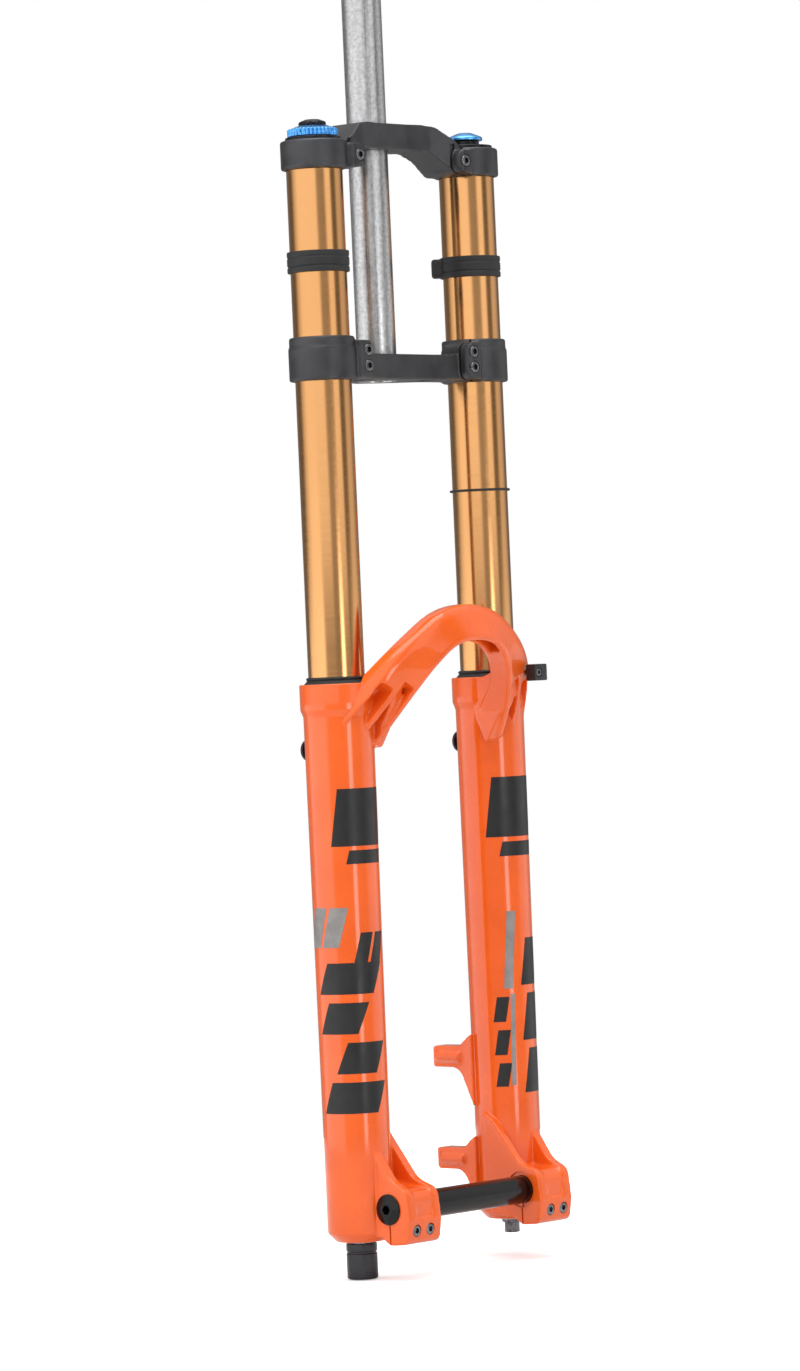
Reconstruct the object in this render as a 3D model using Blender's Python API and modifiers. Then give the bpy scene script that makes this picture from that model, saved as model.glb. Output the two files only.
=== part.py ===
"""Dual-crown downhill suspension fork for a 29 inch bicycle wheel.

Metres, +Z up along the steerer, the front of the bicycle towards -Y, the left leg at +X.
The origin is on the steerer's axis, on the lower crown's crown race seat.
"""
import math

import bmesh
import bpy
from mathutils import Vector

# ---- Overall sizes -------------------------------------------------------------------------------
LEG_SPAN = 0.162            # from one stanchion's axis to the other's
LEG_OFFSET = 0.022          # legs ahead of the steerer
AXLE_TO_CROWN = 0.604       # axle below the crown race seat, fully extended
TRAVEL = 0.203
HUB_WIDTH = 0.110           # between the faces that the hub seats on
CROWN_GAP = 0.1476          # from the race seat to the upper crown's underside
GAP = 0.0003                # left between two touching pieces

# ---- Tubes and shafts ----------------------------------------------------------------------------
STANCHION_R = 0.020
STANCHION_WALL = 0.0022
STEERER_R = 0.0143
STEERER_WALL = 0.0024
STEERER_ABOVE = 0.300       # length above the race seat
AXLE_R = 0.010
AXLE_WALL = 0.003
ROD_R = 0.005
CARTRIDGE_R = 0.0136
CARTRIDGE_WALL = 0.0013

# ---- Crowns --------------------------------------------------------------------------------------
CLAMP_WALL = 0.0037
LOWER_CLAMP_RISE = 0.0115   # clamp above the race seat
LOWER_CLAMP_DROP = 0.0196   # clamp below the race seat
BRIDGE_DEPTH = 0.018
CROWN_BOSS_R = 0.0225
UPPER_CLAMP_HEIGHT = 0.0207
UPPER_CLAMP_DROP = 0.0179   # clamp's lower face below the raised centre's underside
UPPER_BOSS_HEIGHT = 0.0184
EAR_INBOARD = STANCHION_R + 0.0045      # clamp bolt, inboard of the stanchion's axis
EAR_FRONT = STANCHION_R + 0.0025        # ear's front face, ahead of the stanchion's axis
EAR_SLIT_AT = EAR_FRONT - 0.0090
SLIT = 0.0014
CROWN_BOLT_R = 0.0028
CROWN_BOLT_HEAD_R = 0.0042
CROWN_BOLT_HEAD = 0.0045
CROWN_BOLT_PITCH = 0.0112
CROWN_BOLT_SHANK = 0.019
STEERER_BOLT_SHANK = 0.019

# ---- Lower legs ----------------------------------------------------------------------------------
WIPER_PROUD = 0.0048
BUMP_CLEARANCE = 0.0061
BOTTOM_CLEARANCE = 0.018
BORE_R = STANCHION_R + 0.0017
LEG_TOP_R = BORE_R + 0.00305
LEG_FOOT_R = BORE_R + 0.0018
AXLE_CLEARANCE = 0.0005     # between the axle and the leg it passes
AXLE_OFFSET = LEG_FOOT_R + AXLE_R + AXLE_CLEARANCE       # axle ahead of the legs
COLLAR_R = BORE_R + 0.0050
BLEEDER_BOSS_END = LEG_TOP_R + 0.0022
COLLAR_HEIGHT = 0.018
COLLAR_TAPER = 0.005
FLOOR = 0.010
LEG_BELOW_AXLE = 0.0235
BUSHING_HEIGHT = 0.022
SEAL_SEAT_R = STANCHION_R + 0.0045
SEAL_SEAT_DEPTH = 0.021
FOAM_HEIGHT = 0.008
ARCH_WEB = 0.004            # left behind the arch's pockets

# ---- Dropouts, brake posts, bleeders -------------------------------------------------------------
DROPOUT_WIDTH = 0.033
HUB_RECESS = 0.0015
HUB_RECESS_R = AXLE_R + 0.003
AXLE_HEAD_R = AXLE_R + 0.001
AXLE_HEAD_PROUD = 0.0026
BOSS_WALL = 0.0090          # metal around the axle's bore
PINCH_BOLT_R = 0.0025
PINCH_BOLT_HEAD_R = 0.0040
PINCH_BOLT_HEAD = 0.0040
PINCH_BOLT_PITCH = 0.0140
PINCH_BOLT_DROP = AXLE_R + 0.005        # bolt below the axle
PINCH_BOLT_SHANK = 0.019
POST_PITCH = 0.0742
POST_R = 0.008
POST_X = 0.062
POST_REACH = 0.0472         # post's end face behind the legs' plane
POST_HOLE_R = 0.0026
LOWER_POST_RISE = 0.0205    # lower post above the axle
BLEEDER_DROP = 0.0465       # below the legs' rim
BLEEDER_R = 0.0080
BLEEDER_TRAVEL = 0.0015
BLEEDER_STEM_R = 0.0035

# ---- Small parts ---------------------------------------------------------------------------------
BUMPER_BASE = 0.057
BUMPER_HEIGHT = 0.015
BUMPER_WALL = 0.0018
BUMPER_LOBE = STANCHION_R + 0.0085      # lobe's end from the stanchion's axis
ORING_Z = -0.098
ORING_SECTION_R = 0.0009
KNOB_R = 0.018
KNOB_HEIGHT = 0.0056
LOW_KNOB_R = 0.0098
AIR_CAP_R = 0.0130
REBOUND_CAP_R = 0.0110
REBOUND_CAP_LENGTH = 0.0270
REBOUND_CAP_WALL = 0.0014
GUIDE_SIZE = Vector((0.013, 0.0095, 0.012))
GUIDE_SCREW_R = 0.0018
GUIDE_SCREW_HEAD_R = 0.0030
GUIDE_SCREW_SHANK = 0.0145
GUIDE_SCREW_HEAD = 0.0022
WASHER = 0.0012
STEM_R = 0.003              # low-speed knob's stem, through the high-speed knob
KNOB_CONE = 0.0026
VALVE_R = 0.0039
WASHER_R = 0.0078
NUT_HEIGHT = 0.0040
SPINDLE_R = 0.0036          # low-speed rebound spindle, through the high-speed knob
SPINDLE_LENGTH = 0.0070

# ---- Places worked out from the sizes ------------------------------------------------------------
LEG_X = LEG_SPAN / 2
LEG_Y = -LEG_OFFSET
AXLE_Y = LEG_Y - AXLE_OFFSET
AXLE_Z = -AXLE_TO_CROWN
LOWER_CLAMP_TOP = LOWER_CLAMP_RISE
LOWER_CLAMP_BASE = -LOWER_CLAMP_DROP
UPPER_BASE = CROWN_GAP
UPPER_CLAMP_BASE = UPPER_BASE - UPPER_CLAMP_DROP
UPPER_CLAMP_TOP = UPPER_CLAMP_BASE + UPPER_CLAMP_HEIGHT
UPPER_BOSS_TOP = UPPER_BASE + UPPER_BOSS_HEIGHT
CLAMP_R = STANCHION_R + GAP + CLAMP_WALL
RIM_Z = LOWER_CLAMP_BASE - TRAVEL - WIPER_PROUD - BUMP_CLEARANCE
LEG_BASE = AXLE_Z - LEG_BELOW_AXLE
FLOOR_Z = LEG_BASE + FLOOR
STANCHION_TOP = UPPER_CLAMP_TOP - 0.0014
STANCHION_BASE = FLOOR_Z + TRAVEL + BOTTOM_CLEARANCE
STANCHION_BORE = STANCHION_R - STANCHION_WALL
HUB_FACE = HUB_WIDTH / 2
DROPOUT_INNER = HUB_FACE - HUB_RECESS
DROPOUT_OUTER = HUB_FACE + DROPOUT_WIDTH
SEAL_HEAD_BASE = STANCHION_BASE + 0.002
SEAL_HEAD_TOP = SEAL_HEAD_BASE + 0.020
PISTON_BASE = SEAL_HEAD_TOP + 0.008
PISTON_TOP = PISTON_BASE + 0.014
FOOT_R = ROD_R - 0.0005
CAP_PLUG_R = STANCHION_BORE - 0.0004
CAP_FLANGE_R = STANCHION_R - 0.0003
CAP_BASE = STANCHION_TOP - 0.018
FLANGE_BASE = STANCHION_TOP + GAP
FLANGE_TOP = FLANGE_BASE + 0.0034
UPPER_BOLT_Z = UPPER_CLAMP_BASE + 0.0100
LEFT, RIGHT = 1, -1
ROUND, SMALL, TINY = 28, 18, 12      # facets around large, small and tiny round pieces

FORK = bpy.data.collections.new("suspension_fork")
CUTTERS = bpy.data.collections.new("suspension_fork_cutters")


# ---- Helpers -------------------------------------------------------------------------------------
def clear_scene():
    for thing in list(bpy.data.objects):
        bpy.data.objects.remove(thing, do_unlink=True)
    bpy.context.scene.collection.children.link(FORK)
    bpy.context.scene.collection.children.link(CUTTERS)


def make_material(name, colour, roughness, metallic):
    material = bpy.data.materials.new(name)
    material.use_nodes = True
    shader = material.node_tree.nodes["Principled BSDF"]
    shader.inputs["Base Color"].default_value = (*colour, 1.0)
    shader.inputs["Roughness"].default_value = roughness
    shader.inputs["Metallic"].default_value = metallic
    return material


PAINT = make_material("orange_paint", (0.86, 0.13, 0.018), 0.22, 0.0)
GOLD = make_material("gold_anodised", (0.60, 0.30, 0.10), 0.22, 1.0)
BLACK_METAL = make_material("black_anodised", (0.04, 0.04, 0.042), 0.42, 0.6)
GREY_METAL = make_material("raw_aluminium", (0.42, 0.42, 0.43), 0.38, 1.0)
BLUE_METAL = make_material("blue_anodised", (0.05, 0.24, 0.72), 0.25, 1.0)
RUBBER = make_material("black_rubber", (0.02, 0.02, 0.02), 0.7, 0.0)
STEEL = make_material("dark_steel", (0.15, 0.15, 0.16), 0.35, 1.0)
PLASTIC = make_material("black_plastic", (0.025, 0.025, 0.027), 0.5, 0.0)
FOAM = make_material("oil_foam", (0.30, 0.26, 0.20), 0.95, 0.0)


def add_object(name, mesh, material, place=(0, 0, 0)):
    """A mesh object: a part when it has a material, else a cutter or a piece to join."""
    thing = bpy.data.objects.new(name, mesh)
    thing.location = place
    if material is None:
        CUTTERS.objects.link(thing)
        thing.hide_render = True
        thing.display_type = "WIRE"
    else:
        FORK.objects.link(thing)
        mesh.materials.append(material)
    return thing


def settle(thing):
    """Keep the evaluated mesh, and shade round faces smooth and edges sharp."""
    bpy.context.view_layer.update()
    graph = bpy.context.evaluated_depsgraph_get()
    mesh = bpy.data.meshes.new_from_object(thing.evaluated_get(graph))
    mesh.name = thing.name
    thing.modifiers.clear()
    thing.data = mesh
    mesh.shade_smooth()
    mesh.set_sharp_from_angle(angle=math.radians(32))
    return thing


def boolean(thing, others, operation):
    """One exact Boolean step with all of its operands at once, held in a collection of their own."""
    operands = bpy.data.collections.new(f"{thing.name}_{operation.lower()}")
    CUTTERS.children.link(operands)
    for other in others:
        CUTTERS.objects.unlink(other)
        operands.objects.link(other)
    step = thing.modifiers.new(operation.lower(), "BOOLEAN")
    step.operation = operation
    step.solver = "EXACT"
    if len(others) == 1:
        step.object = others[0]
    else:
        step.operand_type = "COLLECTION"
        step.collection = operands


def cut(thing, *others):
    boolean(thing, others, "DIFFERENCE")


def join(thing, *others):
    boolean(thing, others, "UNION")


TURN_TO = {
    "+Z": (0, 0, 0), "-Z": (math.pi, 0, 0),
    "+Y": (-math.pi / 2, 0, 0), "-Y": (math.pi / 2, 0, 0),
    "+X": (0, math.pi / 2, 0), "-X": (0, -math.pi / 2, 0),
}


def turned(name, profile, place, material=None, steps=ROUND, axis="+Z", ring=False, phase=0.0):
    """Turn a profile of (radius, height), listed down its outer side, about an axis."""
    mesh = bpy.data.meshes.new(name)
    along = Vector((math.cos(phase), math.sin(phase), 0))
    points = [along * radius + Vector((0, 0, height)) for radius, height in profile]
    edges = [(i, i + 1) for i in range(len(points) - 1)]
    if ring:
        edges.append((len(points) - 1, 0))
    mesh.from_pydata(points, edges, [])
    thing = add_object(name, mesh, material, place)
    thing.rotation_euler = TURN_TO[axis]
    screw = thing.modifiers.new("turn", "SCREW")
    screw.steps = steps
    screw.render_steps = steps
    screw.use_merge_vertices = True
    screw.merge_threshold = 0.00001
    return settle(thing)


def tube(name, outer, inner, base, top, place, material=None, steps=ROUND, axis="+Z"):
    profile = [(outer, top), (outer, base), (inner, base), (inner, top)]
    return turned(name, profile, place, material, steps, axis, ring=True)


def rod(name, radius, base, top, place, material=None, steps=SMALL, axis="+Z", phase=0.0):
    profile = [(0, top), (radius, top), (radius, base), (0, base)]
    return turned(name, profile, place, material, steps, axis, phase=phase)


def box(name, low, high, material=None):
    """An upright box between two corners."""
    low, high = Vector(low), Vector(high)
    mesh = bpy.data.meshes.new(name)
    form = bmesh.new()
    bmesh.ops.create_cube(form, size=1.0)
    bmesh.ops.scale(form, vec=high - low, verts=form.verts)
    form.to_mesh(mesh)
    form.free()
    return add_object(name, mesh, material, (low + high) / 2)


def hexagon(name, across, base, top, place, axis="+Z"):
    """A hexagonal prism, the shape of a key's socket."""
    mesh = bpy.data.meshes.new(name)
    form = bmesh.new()
    radius = across / math.sqrt(3)
    bmesh.ops.create_cone(form, cap_ends=True, segments=6, radius1=radius, radius2=radius,
                          depth=top - base)
    bmesh.ops.translate(form, vec=(0, 0, (base + top) / 2), verts=form.verts)
    form.to_mesh(mesh)
    form.free()
    thing = add_object(name, mesh, None, place)
    thing.rotation_euler = TURN_TO[axis]
    return thing


def filleted(corners, steps=2):
    """Round each (x, y, radius) corner of an outline with an arc."""
    outline = []
    count = len(corners)
    for i, (x, y, radius) in enumerate(corners):
        here = Vector((x, y))
        if radius == 0:
            outline.append(here)
            continue
        back = (Vector(corners[i - 1][:2]) - here).normalized()
        ahead = (Vector(corners[(i + 1) % count][:2]) - here).normalized()
        half = back.angle(ahead) / 2
        reach = radius / math.tan(half)
        centre = here + (back + ahead).normalized() * (radius / math.sin(half))
        start, end = here + back * reach - centre, here + ahead * reach - centre
        for k in range(steps + 1):
            arm = start.lerp(end, k / steps).normalized() * radius
            outline.append(centre + arm)
    return outline


PLANES = {"XY": (0, 0, 0), "XZ": (math.pi / 2, 0, 0), "YZ": (math.pi / 2, 0, math.pi / 2)}


def plate(name, outline, low, high, plane, material=None):
    """Extrude a flat outline from low to high along the plane's normal (+Z, -Y or +X)."""
    curve = bpy.data.curves.new(name, "CURVE")
    curve.dimensions = "2D"
    curve.fill_mode = "BOTH"
    curve.extrude = (high - low) / 2
    spline = curve.splines.new("POLY")
    spline.points.add(len(outline) - 1)
    spline.use_cyclic_u = True
    for point, corner in zip(spline.points, outline):
        point.co = (corner[0], corner[1], 0, 1)
    flat = bpy.data.objects.new(name + "_outline", curve)
    CUTTERS.objects.link(flat)
    middle = (low + high) / 2
    flat.location = {"XY": (0, 0, middle), "XZ": (0, -middle, 0), "YZ": (middle, 0, 0)}[plane]
    flat.rotation_euler = PLANES[plane]
    bpy.context.view_layer.update()
    graph = bpy.context.evaluated_depsgraph_get()
    mesh = bpy.data.meshes.new_from_object(flat.evaluated_get(graph))
    mesh.name = name
    form = bmesh.new()
    form.from_mesh(mesh)
    bmesh.ops.remove_doubles(form, verts=form.verts, dist=0.00001)
    bmesh.ops.recalc_face_normals(form, faces=form.faces)
    form.to_mesh(mesh)
    form.free()
    thing = add_object(name, mesh, material)
    thing.matrix_world = flat.matrix_world
    bpy.data.objects.remove(flat, do_unlink=True)
    return thing


def socket_bolt(name, place, axis, head_r, head_h, shank_r, shank_l, material=STEEL):
    """A socket-head bolt whose head's underside is at place and whose head points along axis."""
    profile = [(0, head_h), (head_r, head_h), (head_r, 0), (shank_r, 0), (shank_r, -shank_l),
               (0, -shank_l)]
    bolt = turned(name, profile, place, material, TINY, axis)
    cut(bolt, hexagon(name + "_socket", head_r * 1.1, head_h * 0.35, head_h + 0.001, place, axis))
    return settle(bolt)


def bolt_hole(name, place, axis, head_r, shank_r, shank_l, mouth=0.02):
    """The stepped hole that a socket bolt sits in."""
    profile = [(0, mouth), (head_r + GAP, mouth), (head_r + GAP, -GAP), (shank_r + GAP, -GAP),
               (shank_r + GAP, -shank_l - GAP), (0, -shank_l - GAP)]
    return turned(name, profile, place, None, TINY, axis, phase=0.09)


# ---- Crowns --------------------------------------------------------------------------------------
def lower_crown_bolt_places():
    middle = LOWER_CLAMP_BASE + 0.0156
    return [(side, middle + up * CROWN_BOLT_PITCH / 2) for side in (LEFT, RIGHT) for up in (1, -1)]


def crown_bolt_seat(side, height):
    """Where a clamp bolt's head rests, on the front ear."""
    return (side * (LEG_X - EAR_INBOARD), LEG_Y - EAR_FRONT + 0.0042, height)


def crown_ear(name, side, base, top):
    inner = LEG_X - EAR_INBOARD - 0.0062
    outer = LEG_X - EAR_INBOARD + 0.0090
    corners = [(inner, LEG_Y - EAR_FRONT, 0.003), (outer, LEG_Y - EAR_FRONT, 0.002),
               (outer, LEG_Y + 0.006, 0), (inner, LEG_Y + 0.006, 0)]
    outline = [Vector((side * p.x, p.y)) for p in filleted(corners)]
    return plate(name, outline, base, top, "XY")


def clamp_cuts(name, side, base, top, bolts):
    """The stanchion's bore, the slit and the bolt holes of one clamp."""
    tag = "left" if side > 0 else "right"
    bore = rod(f"{name}_bore_{tag}", STANCHION_R + GAP, base - 0.002, top + 0.002,
               (side * LEG_X, LEG_Y, 0), steps=ROUND)
    inner = side * (LEG_X - EAR_INBOARD - 0.010)
    outer = side * (LEG_X - STANCHION_R + 0.004)
    slit_y = LEG_Y - EAR_SLIT_AT
    slit = box(f"{name}_slit_{tag}", (min(inner, outer), slit_y - SLIT / 2, base - 0.002),
               (max(inner, outer), slit_y + SLIT / 2, top + 0.002))
    holes = [bolt_hole(f"{name}_hole_{tag}_{k}", crown_bolt_seat(side, height), "-Y",
                       CROWN_BOLT_HEAD_R, CROWN_BOLT_R, CROWN_BOLT_SHANK)
             for k, height in enumerate(bolts)]
    return [bore, slit] + holes


def make_lower_crown():
    half = [(CROWN_BOSS_R * 0.70, CROWN_BOSS_R * 0.72, 0.006), (0.042, -0.0005, 0.010),
            (LEG_X - 0.012, LEG_Y + 0.0205, 0), (LEG_X - 0.012, LEG_Y - 0.010, 0),
            (LEG_X - EAR_INBOARD - 0.006, LEG_Y - 0.0125, 0), (0.024, -0.0305, 0.020)]
    mirrored = [(-x, y, r) for x, y, r in reversed(half)]
    outline = filleted([(0, CROWN_BOSS_R, 0)] + half + mirrored)
    crown = plate("lower_crown", outline, -BRIDGE_DEPTH, 0, "XY", BLACK_METAL)
    clamps, cuts = [], []
    for side, tag in ((LEFT, "left"), (RIGHT, "right")):
        profile = [(0, LOWER_CLAMP_TOP), (CLAMP_R - 0.0012, LOWER_CLAMP_TOP),
                   (CLAMP_R - 0.0006, LOWER_CLAMP_TOP - 0.0006),
                   (CLAMP_R - 0.0006, LOWER_CLAMP_TOP - 0.007), (CLAMP_R, LOWER_CLAMP_TOP - 0.0078),
                   (CLAMP_R, LOWER_CLAMP_BASE), (0, LOWER_CLAMP_BASE)]
        clamps.append(turned(f"lower_crown_clamp_{tag}", profile, (side * LEG_X, LEG_Y, 0)))
        clamps.append(crown_ear(f"lower_crown_ear_{tag}", side, LOWER_CLAMP_BASE + 0.0014,
                                LOWER_CLAMP_TOP - 0.003))
        heights = [z for s, z in lower_crown_bolt_places() if s == side]
        cuts += clamp_cuts("lower_crown", side, LOWER_CLAMP_BASE, LOWER_CLAMP_TOP, heights)
        pocket = filleted([(0.026, 0.001, 0.003), (0.044, -0.006, 0.003), (0.044, -0.026, 0.003),
                           (0.026, -0.024, 0.003)])
        pocket = [Vector((side * p.x, p.y)) for p in pocket]
        cuts.append(plate(f"lower_crown_pocket_{tag}", pocket, -BRIDGE_DEPTH - 0.002,
                          -BRIDGE_DEPTH + 0.009, "XY"))
    cuts.append(rod("lower_crown_steerer_bore", STEERER_R + GAP, -BRIDGE_DEPTH - 0.002, 0.002,
                    (0, 0, 0), steps=ROUND))
    join(crown, *clamps)
    cut(crown, *cuts)
    return settle(crown)


def upper_crown_elevation():
    """Front outline of the gull-shaped arms, from clamp to clamp."""
    inner = LEG_X - STANCHION_R - 0.003
    half_top = [(LEG_X, UPPER_CLAMP_TOP - 0.0006, 0), (inner + 0.004, UPPER_CLAMP_TOP - 0.0006, 0.004),
                (0.040, UPPER_BOSS_TOP - 0.0015, 0.006), (0.028, UPPER_BOSS_TOP, 0)]
    half_base = [(0.034, UPPER_BASE, 0.006), (inner - 0.002, UPPER_CLAMP_BASE + 0.0006, 0.006),
                 (LEG_X, UPPER_CLAMP_BASE + 0.0006, 0)]
    right_top = [(-x, z, r) for x, z, r in reversed(half_top)]
    right_base = [(-x, z, r) for x, z, r in reversed(half_base)]
    return filleted(half_top + right_top + right_base + half_base)


def make_upper_crown():
    half = [(CROWN_BOSS_R * 0.80, CROWN_BOSS_R * 0.66, 0.006), (0.042, -0.004, 0.010),
            (LEG_X - 0.010, LEG_Y + 0.018, 0), (LEG_X - 0.010, LEG_Y - 0.013, 0),
            (0.054, LEG_Y - 0.0145, 0.004), (0.036, -0.029, 0.008), (0.016, -0.0245, 0.006)]
    mirrored = [(-x, y, r) for x, y, r in reversed(half)]
    outline = filleted([(0, CROWN_BOSS_R, 0)] + half + mirrored)
    crown = plate("upper_crown", upper_crown_elevation(), -0.03, 0.06, "XZ", BLACK_METAL)
    boolean(crown, [plate("upper_crown_plan", outline, 0.10, 0.20, "XY")], "INTERSECT")
    rear = box("upper_crown_rear_ears", (-0.0135, 0.010, UPPER_BASE + 0.0012),
               (0.0135, 0.0320, UPPER_BOSS_TOP - 0.0016))
    added, cuts = [rear], []
    for side, tag in ((LEFT, "left"), (RIGHT, "right")):
        profile = [(0, UPPER_CLAMP_TOP), (CLAMP_R - 0.0014, UPPER_CLAMP_TOP),
                   (CLAMP_R - 0.0005, UPPER_CLAMP_TOP - 0.0014),
                   (CLAMP_R - 0.0005, UPPER_CLAMP_BASE), (0, UPPER_CLAMP_BASE)]
        added.append(turned(f"upper_crown_clamp_{tag}", profile, (side * LEG_X, LEG_Y, 0)))
        added.append(crown_ear(f"upper_crown_ear_{tag}", side, UPPER_CLAMP_BASE + 0.0012,
                               UPPER_CLAMP_TOP - 0.0025))
        cuts += clamp_cuts("upper_crown", side, UPPER_CLAMP_BASE, UPPER_CLAMP_TOP,
                           [UPPER_BOLT_Z])
        for k, back in enumerate((0.004, -0.0185)):
            cuts.append(rod(f"stem_hole_{tag}_{k}", 0.0025, UPPER_BOSS_TOP - 0.010,
                            UPPER_BOSS_TOP + 0.002, (side * 0.0255, back, 0), steps=TINY))
    cuts.append(rod("upper_crown_steerer_bore", STEERER_R + GAP, UPPER_BASE - 0.002,
                    UPPER_BOSS_TOP + 0.002, (0, 0, 0), steps=ROUND))
    cuts.append(box("upper_crown_rear_slit", (-SLIT / 2, 0.004, UPPER_BASE - 0.002),
                    (SLIT / 2, 0.040, UPPER_BOSS_TOP + 0.002)))
    cuts.append(bolt_hole("upper_crown_rear_hole", steerer_bolt_seat(), "-X", CROWN_BOLT_HEAD_R,
                          CROWN_BOLT_R, STEERER_BOLT_SHANK))
    join(crown, *added)
    cut(crown, *cuts)
    return settle(crown)


def steerer_bolt_seat():
    return (-0.0085, 0.0255, (UPPER_BASE + UPPER_BOSS_TOP) / 2)


def make_crown_bolts():
    for number, (side, height) in enumerate(lower_crown_bolt_places(), start=1):
        socket_bolt(f"lower_crown_bolt_{number}", crown_bolt_seat(side, height), "-Y",
                    CROWN_BOLT_HEAD_R, CROWN_BOLT_HEAD, CROWN_BOLT_R, CROWN_BOLT_SHANK)
    for side, tag in ((LEFT, "left"), (RIGHT, "right")):
        socket_bolt(f"upper_crown_bolt_{tag}", crown_bolt_seat(side, UPPER_BOLT_Z), "-Y",
                    CROWN_BOLT_HEAD_R, CROWN_BOLT_HEAD, CROWN_BOLT_R, CROWN_BOLT_SHANK)
    socket_bolt("steerer_clamp_bolt", steerer_bolt_seat(), "-X",
                CROWN_BOLT_HEAD_R, CROWN_BOLT_HEAD, CROWN_BOLT_R, STEERER_BOLT_SHANK)


# ---- Upper tubes and what they hold --------------------------------------------------------------
def make_upper_tubes():
    tube("steerer_tube", STEERER_R, STEERER_R - STEERER_WALL, -BRIDGE_DEPTH, STEERER_ABOVE,
         (0, 0, 0), GREY_METAL)
    for side, tag in ((LEFT, "left"), (RIGHT, "right")):
        tube(f"stanchion_{tag}", STANCHION_R, STANCHION_BORE, STANCHION_BASE, STANCHION_TOP,
             (side * LEG_X, LEG_Y, 0), GOLD)


def make_bumper(side, tag):
    inner, outer = STANCHION_R + GAP, STANCHION_R + GAP + BUMPER_WALL
    top = BUMPER_BASE + BUMPER_HEIGHT
    profile = [(outer, top), (outer, top - 0.0035), (outer - 0.0007, top - 0.0048),
               (outer - 0.0007, BUMPER_BASE + 0.0048), (outer, BUMPER_BASE + 0.0035),
               (outer, BUMPER_BASE), (inner, BUMPER_BASE), (inner, top)]
    bumper = turned(f"frame_bumper_{tag}", profile, (side * LEG_X, LEG_Y, 0), RUBBER, ring=True)
    lobe = box(f"bumper_lobe_{tag}", (inner + 0.0004, -0.008, BUMPER_BASE + 0.0006),
               (BUMPER_LOBE, 0.008, top - 0.0006))
    angle = math.radians(132 if side > 0 else 48)
    place = lobe.location.copy()
    lobe.rotation_euler = (0, 0, angle)
    lobe.location = (side * LEG_X + place.x * math.cos(angle), LEG_Y + place.x * math.sin(angle),
                     place.z)
    bore = rod(f"bumper_bore_{tag}", inner, BUMPER_BASE - 0.002, top + 0.002,
               (side * LEG_X, LEG_Y, 0), steps=ROUND)
    join(bumper, lobe)
    cut(bumper, bore)
    return settle(bumper)


def make_oring():
    """The sag ring on the left stanchion; its origin is on the stanchion's axis."""
    middle = STANCHION_R + 0.0002 + ORING_SECTION_R
    around = [(middle + ORING_SECTION_R * math.cos(a), -ORING_SECTION_R * math.sin(a))
              for a in (math.radians(k * 60) for k in range(6))]
    turned("travel_oring", around, (LEG_X, LEG_Y, ORING_Z), RUBBER, ring=True)


def make_damper_top():
    """Damper top cap with its two coaxial compression knobs."""
    place = (RIGHT * LEG_X, LEG_Y, 0)
    cap = [(CAP_FLANGE_R - 0.0006, FLANGE_TOP), (CAP_FLANGE_R, FLANGE_TOP - 0.0006),
           (CAP_FLANGE_R, FLANGE_BASE), (CAP_PLUG_R, FLANGE_BASE), (CAP_PLUG_R, CAP_BASE),
           (STEM_R + GAP, CAP_BASE), (STEM_R + GAP, FLANGE_TOP)]
    turned("damper_top_cap", cap, place, BLACK_METAL, ring=True)
    tube("damper_cartridge", CARTRIDGE_R, CARTRIDGE_R - CARTRIDGE_WALL, SEAL_HEAD_BASE,
         CAP_BASE - GAP, place, GREY_METAL, SMALL)
    base = FLANGE_TOP + GAP
    high_knob(place, base)
    low_base = base + KNOB_HEIGHT + KNOB_CONE + GAP
    low = [(0, low_base + 0.0038), (LOW_KNOB_R * 0.55, low_base + 0.0034),
           (LOW_KNOB_R - 0.0006, low_base + 0.0020), (LOW_KNOB_R, low_base + 0.0012),
           (LOW_KNOB_R, low_base), (STEM_R, low_base), (STEM_R, CAP_BASE + 0.004),
           (0, CAP_BASE + 0.004)]
    low = [(radius, height - base) for radius, height in low]
    turned("compression_low_knob", low, (place[0], place[1], base), BLACK_METAL, SMALL)


def high_knob(place, base):
    """Fluted rim under a shallow cone, bored for the low-speed knob's stem."""
    flutes = 24
    outline = []
    for k in range(flutes * 2):
        radius = KNOB_R if k % 2 else KNOB_R - 0.0008
        angle = math.pi * k / flutes
        outline.append(Vector((radius * math.cos(angle), radius * math.sin(angle))))
    knob = plate("compression_high_knob", outline, 0, KNOB_HEIGHT, "XY", BLUE_METAL)
    knob.location = (place[0], place[1], base + KNOB_HEIGHT / 2)
    cone = turned("high_knob_cone",
                  [(0, KNOB_HEIGHT + KNOB_CONE), (LOW_KNOB_R, KNOB_HEIGHT + KNOB_CONE),
                   (KNOB_R - 0.0016, KNOB_HEIGHT), (KNOB_R - 0.0016, 0.002), (0, 0.002)],
                  (place[0], place[1], base), steps=SMALL)
    bore = rod("high_knob_bore", STEM_R + GAP, -0.001, KNOB_HEIGHT + 0.004,
               (place[0], place[1], base), steps=SMALL)
    join(knob, cone)
    cut(knob, bore)
    return settle(knob)


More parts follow.
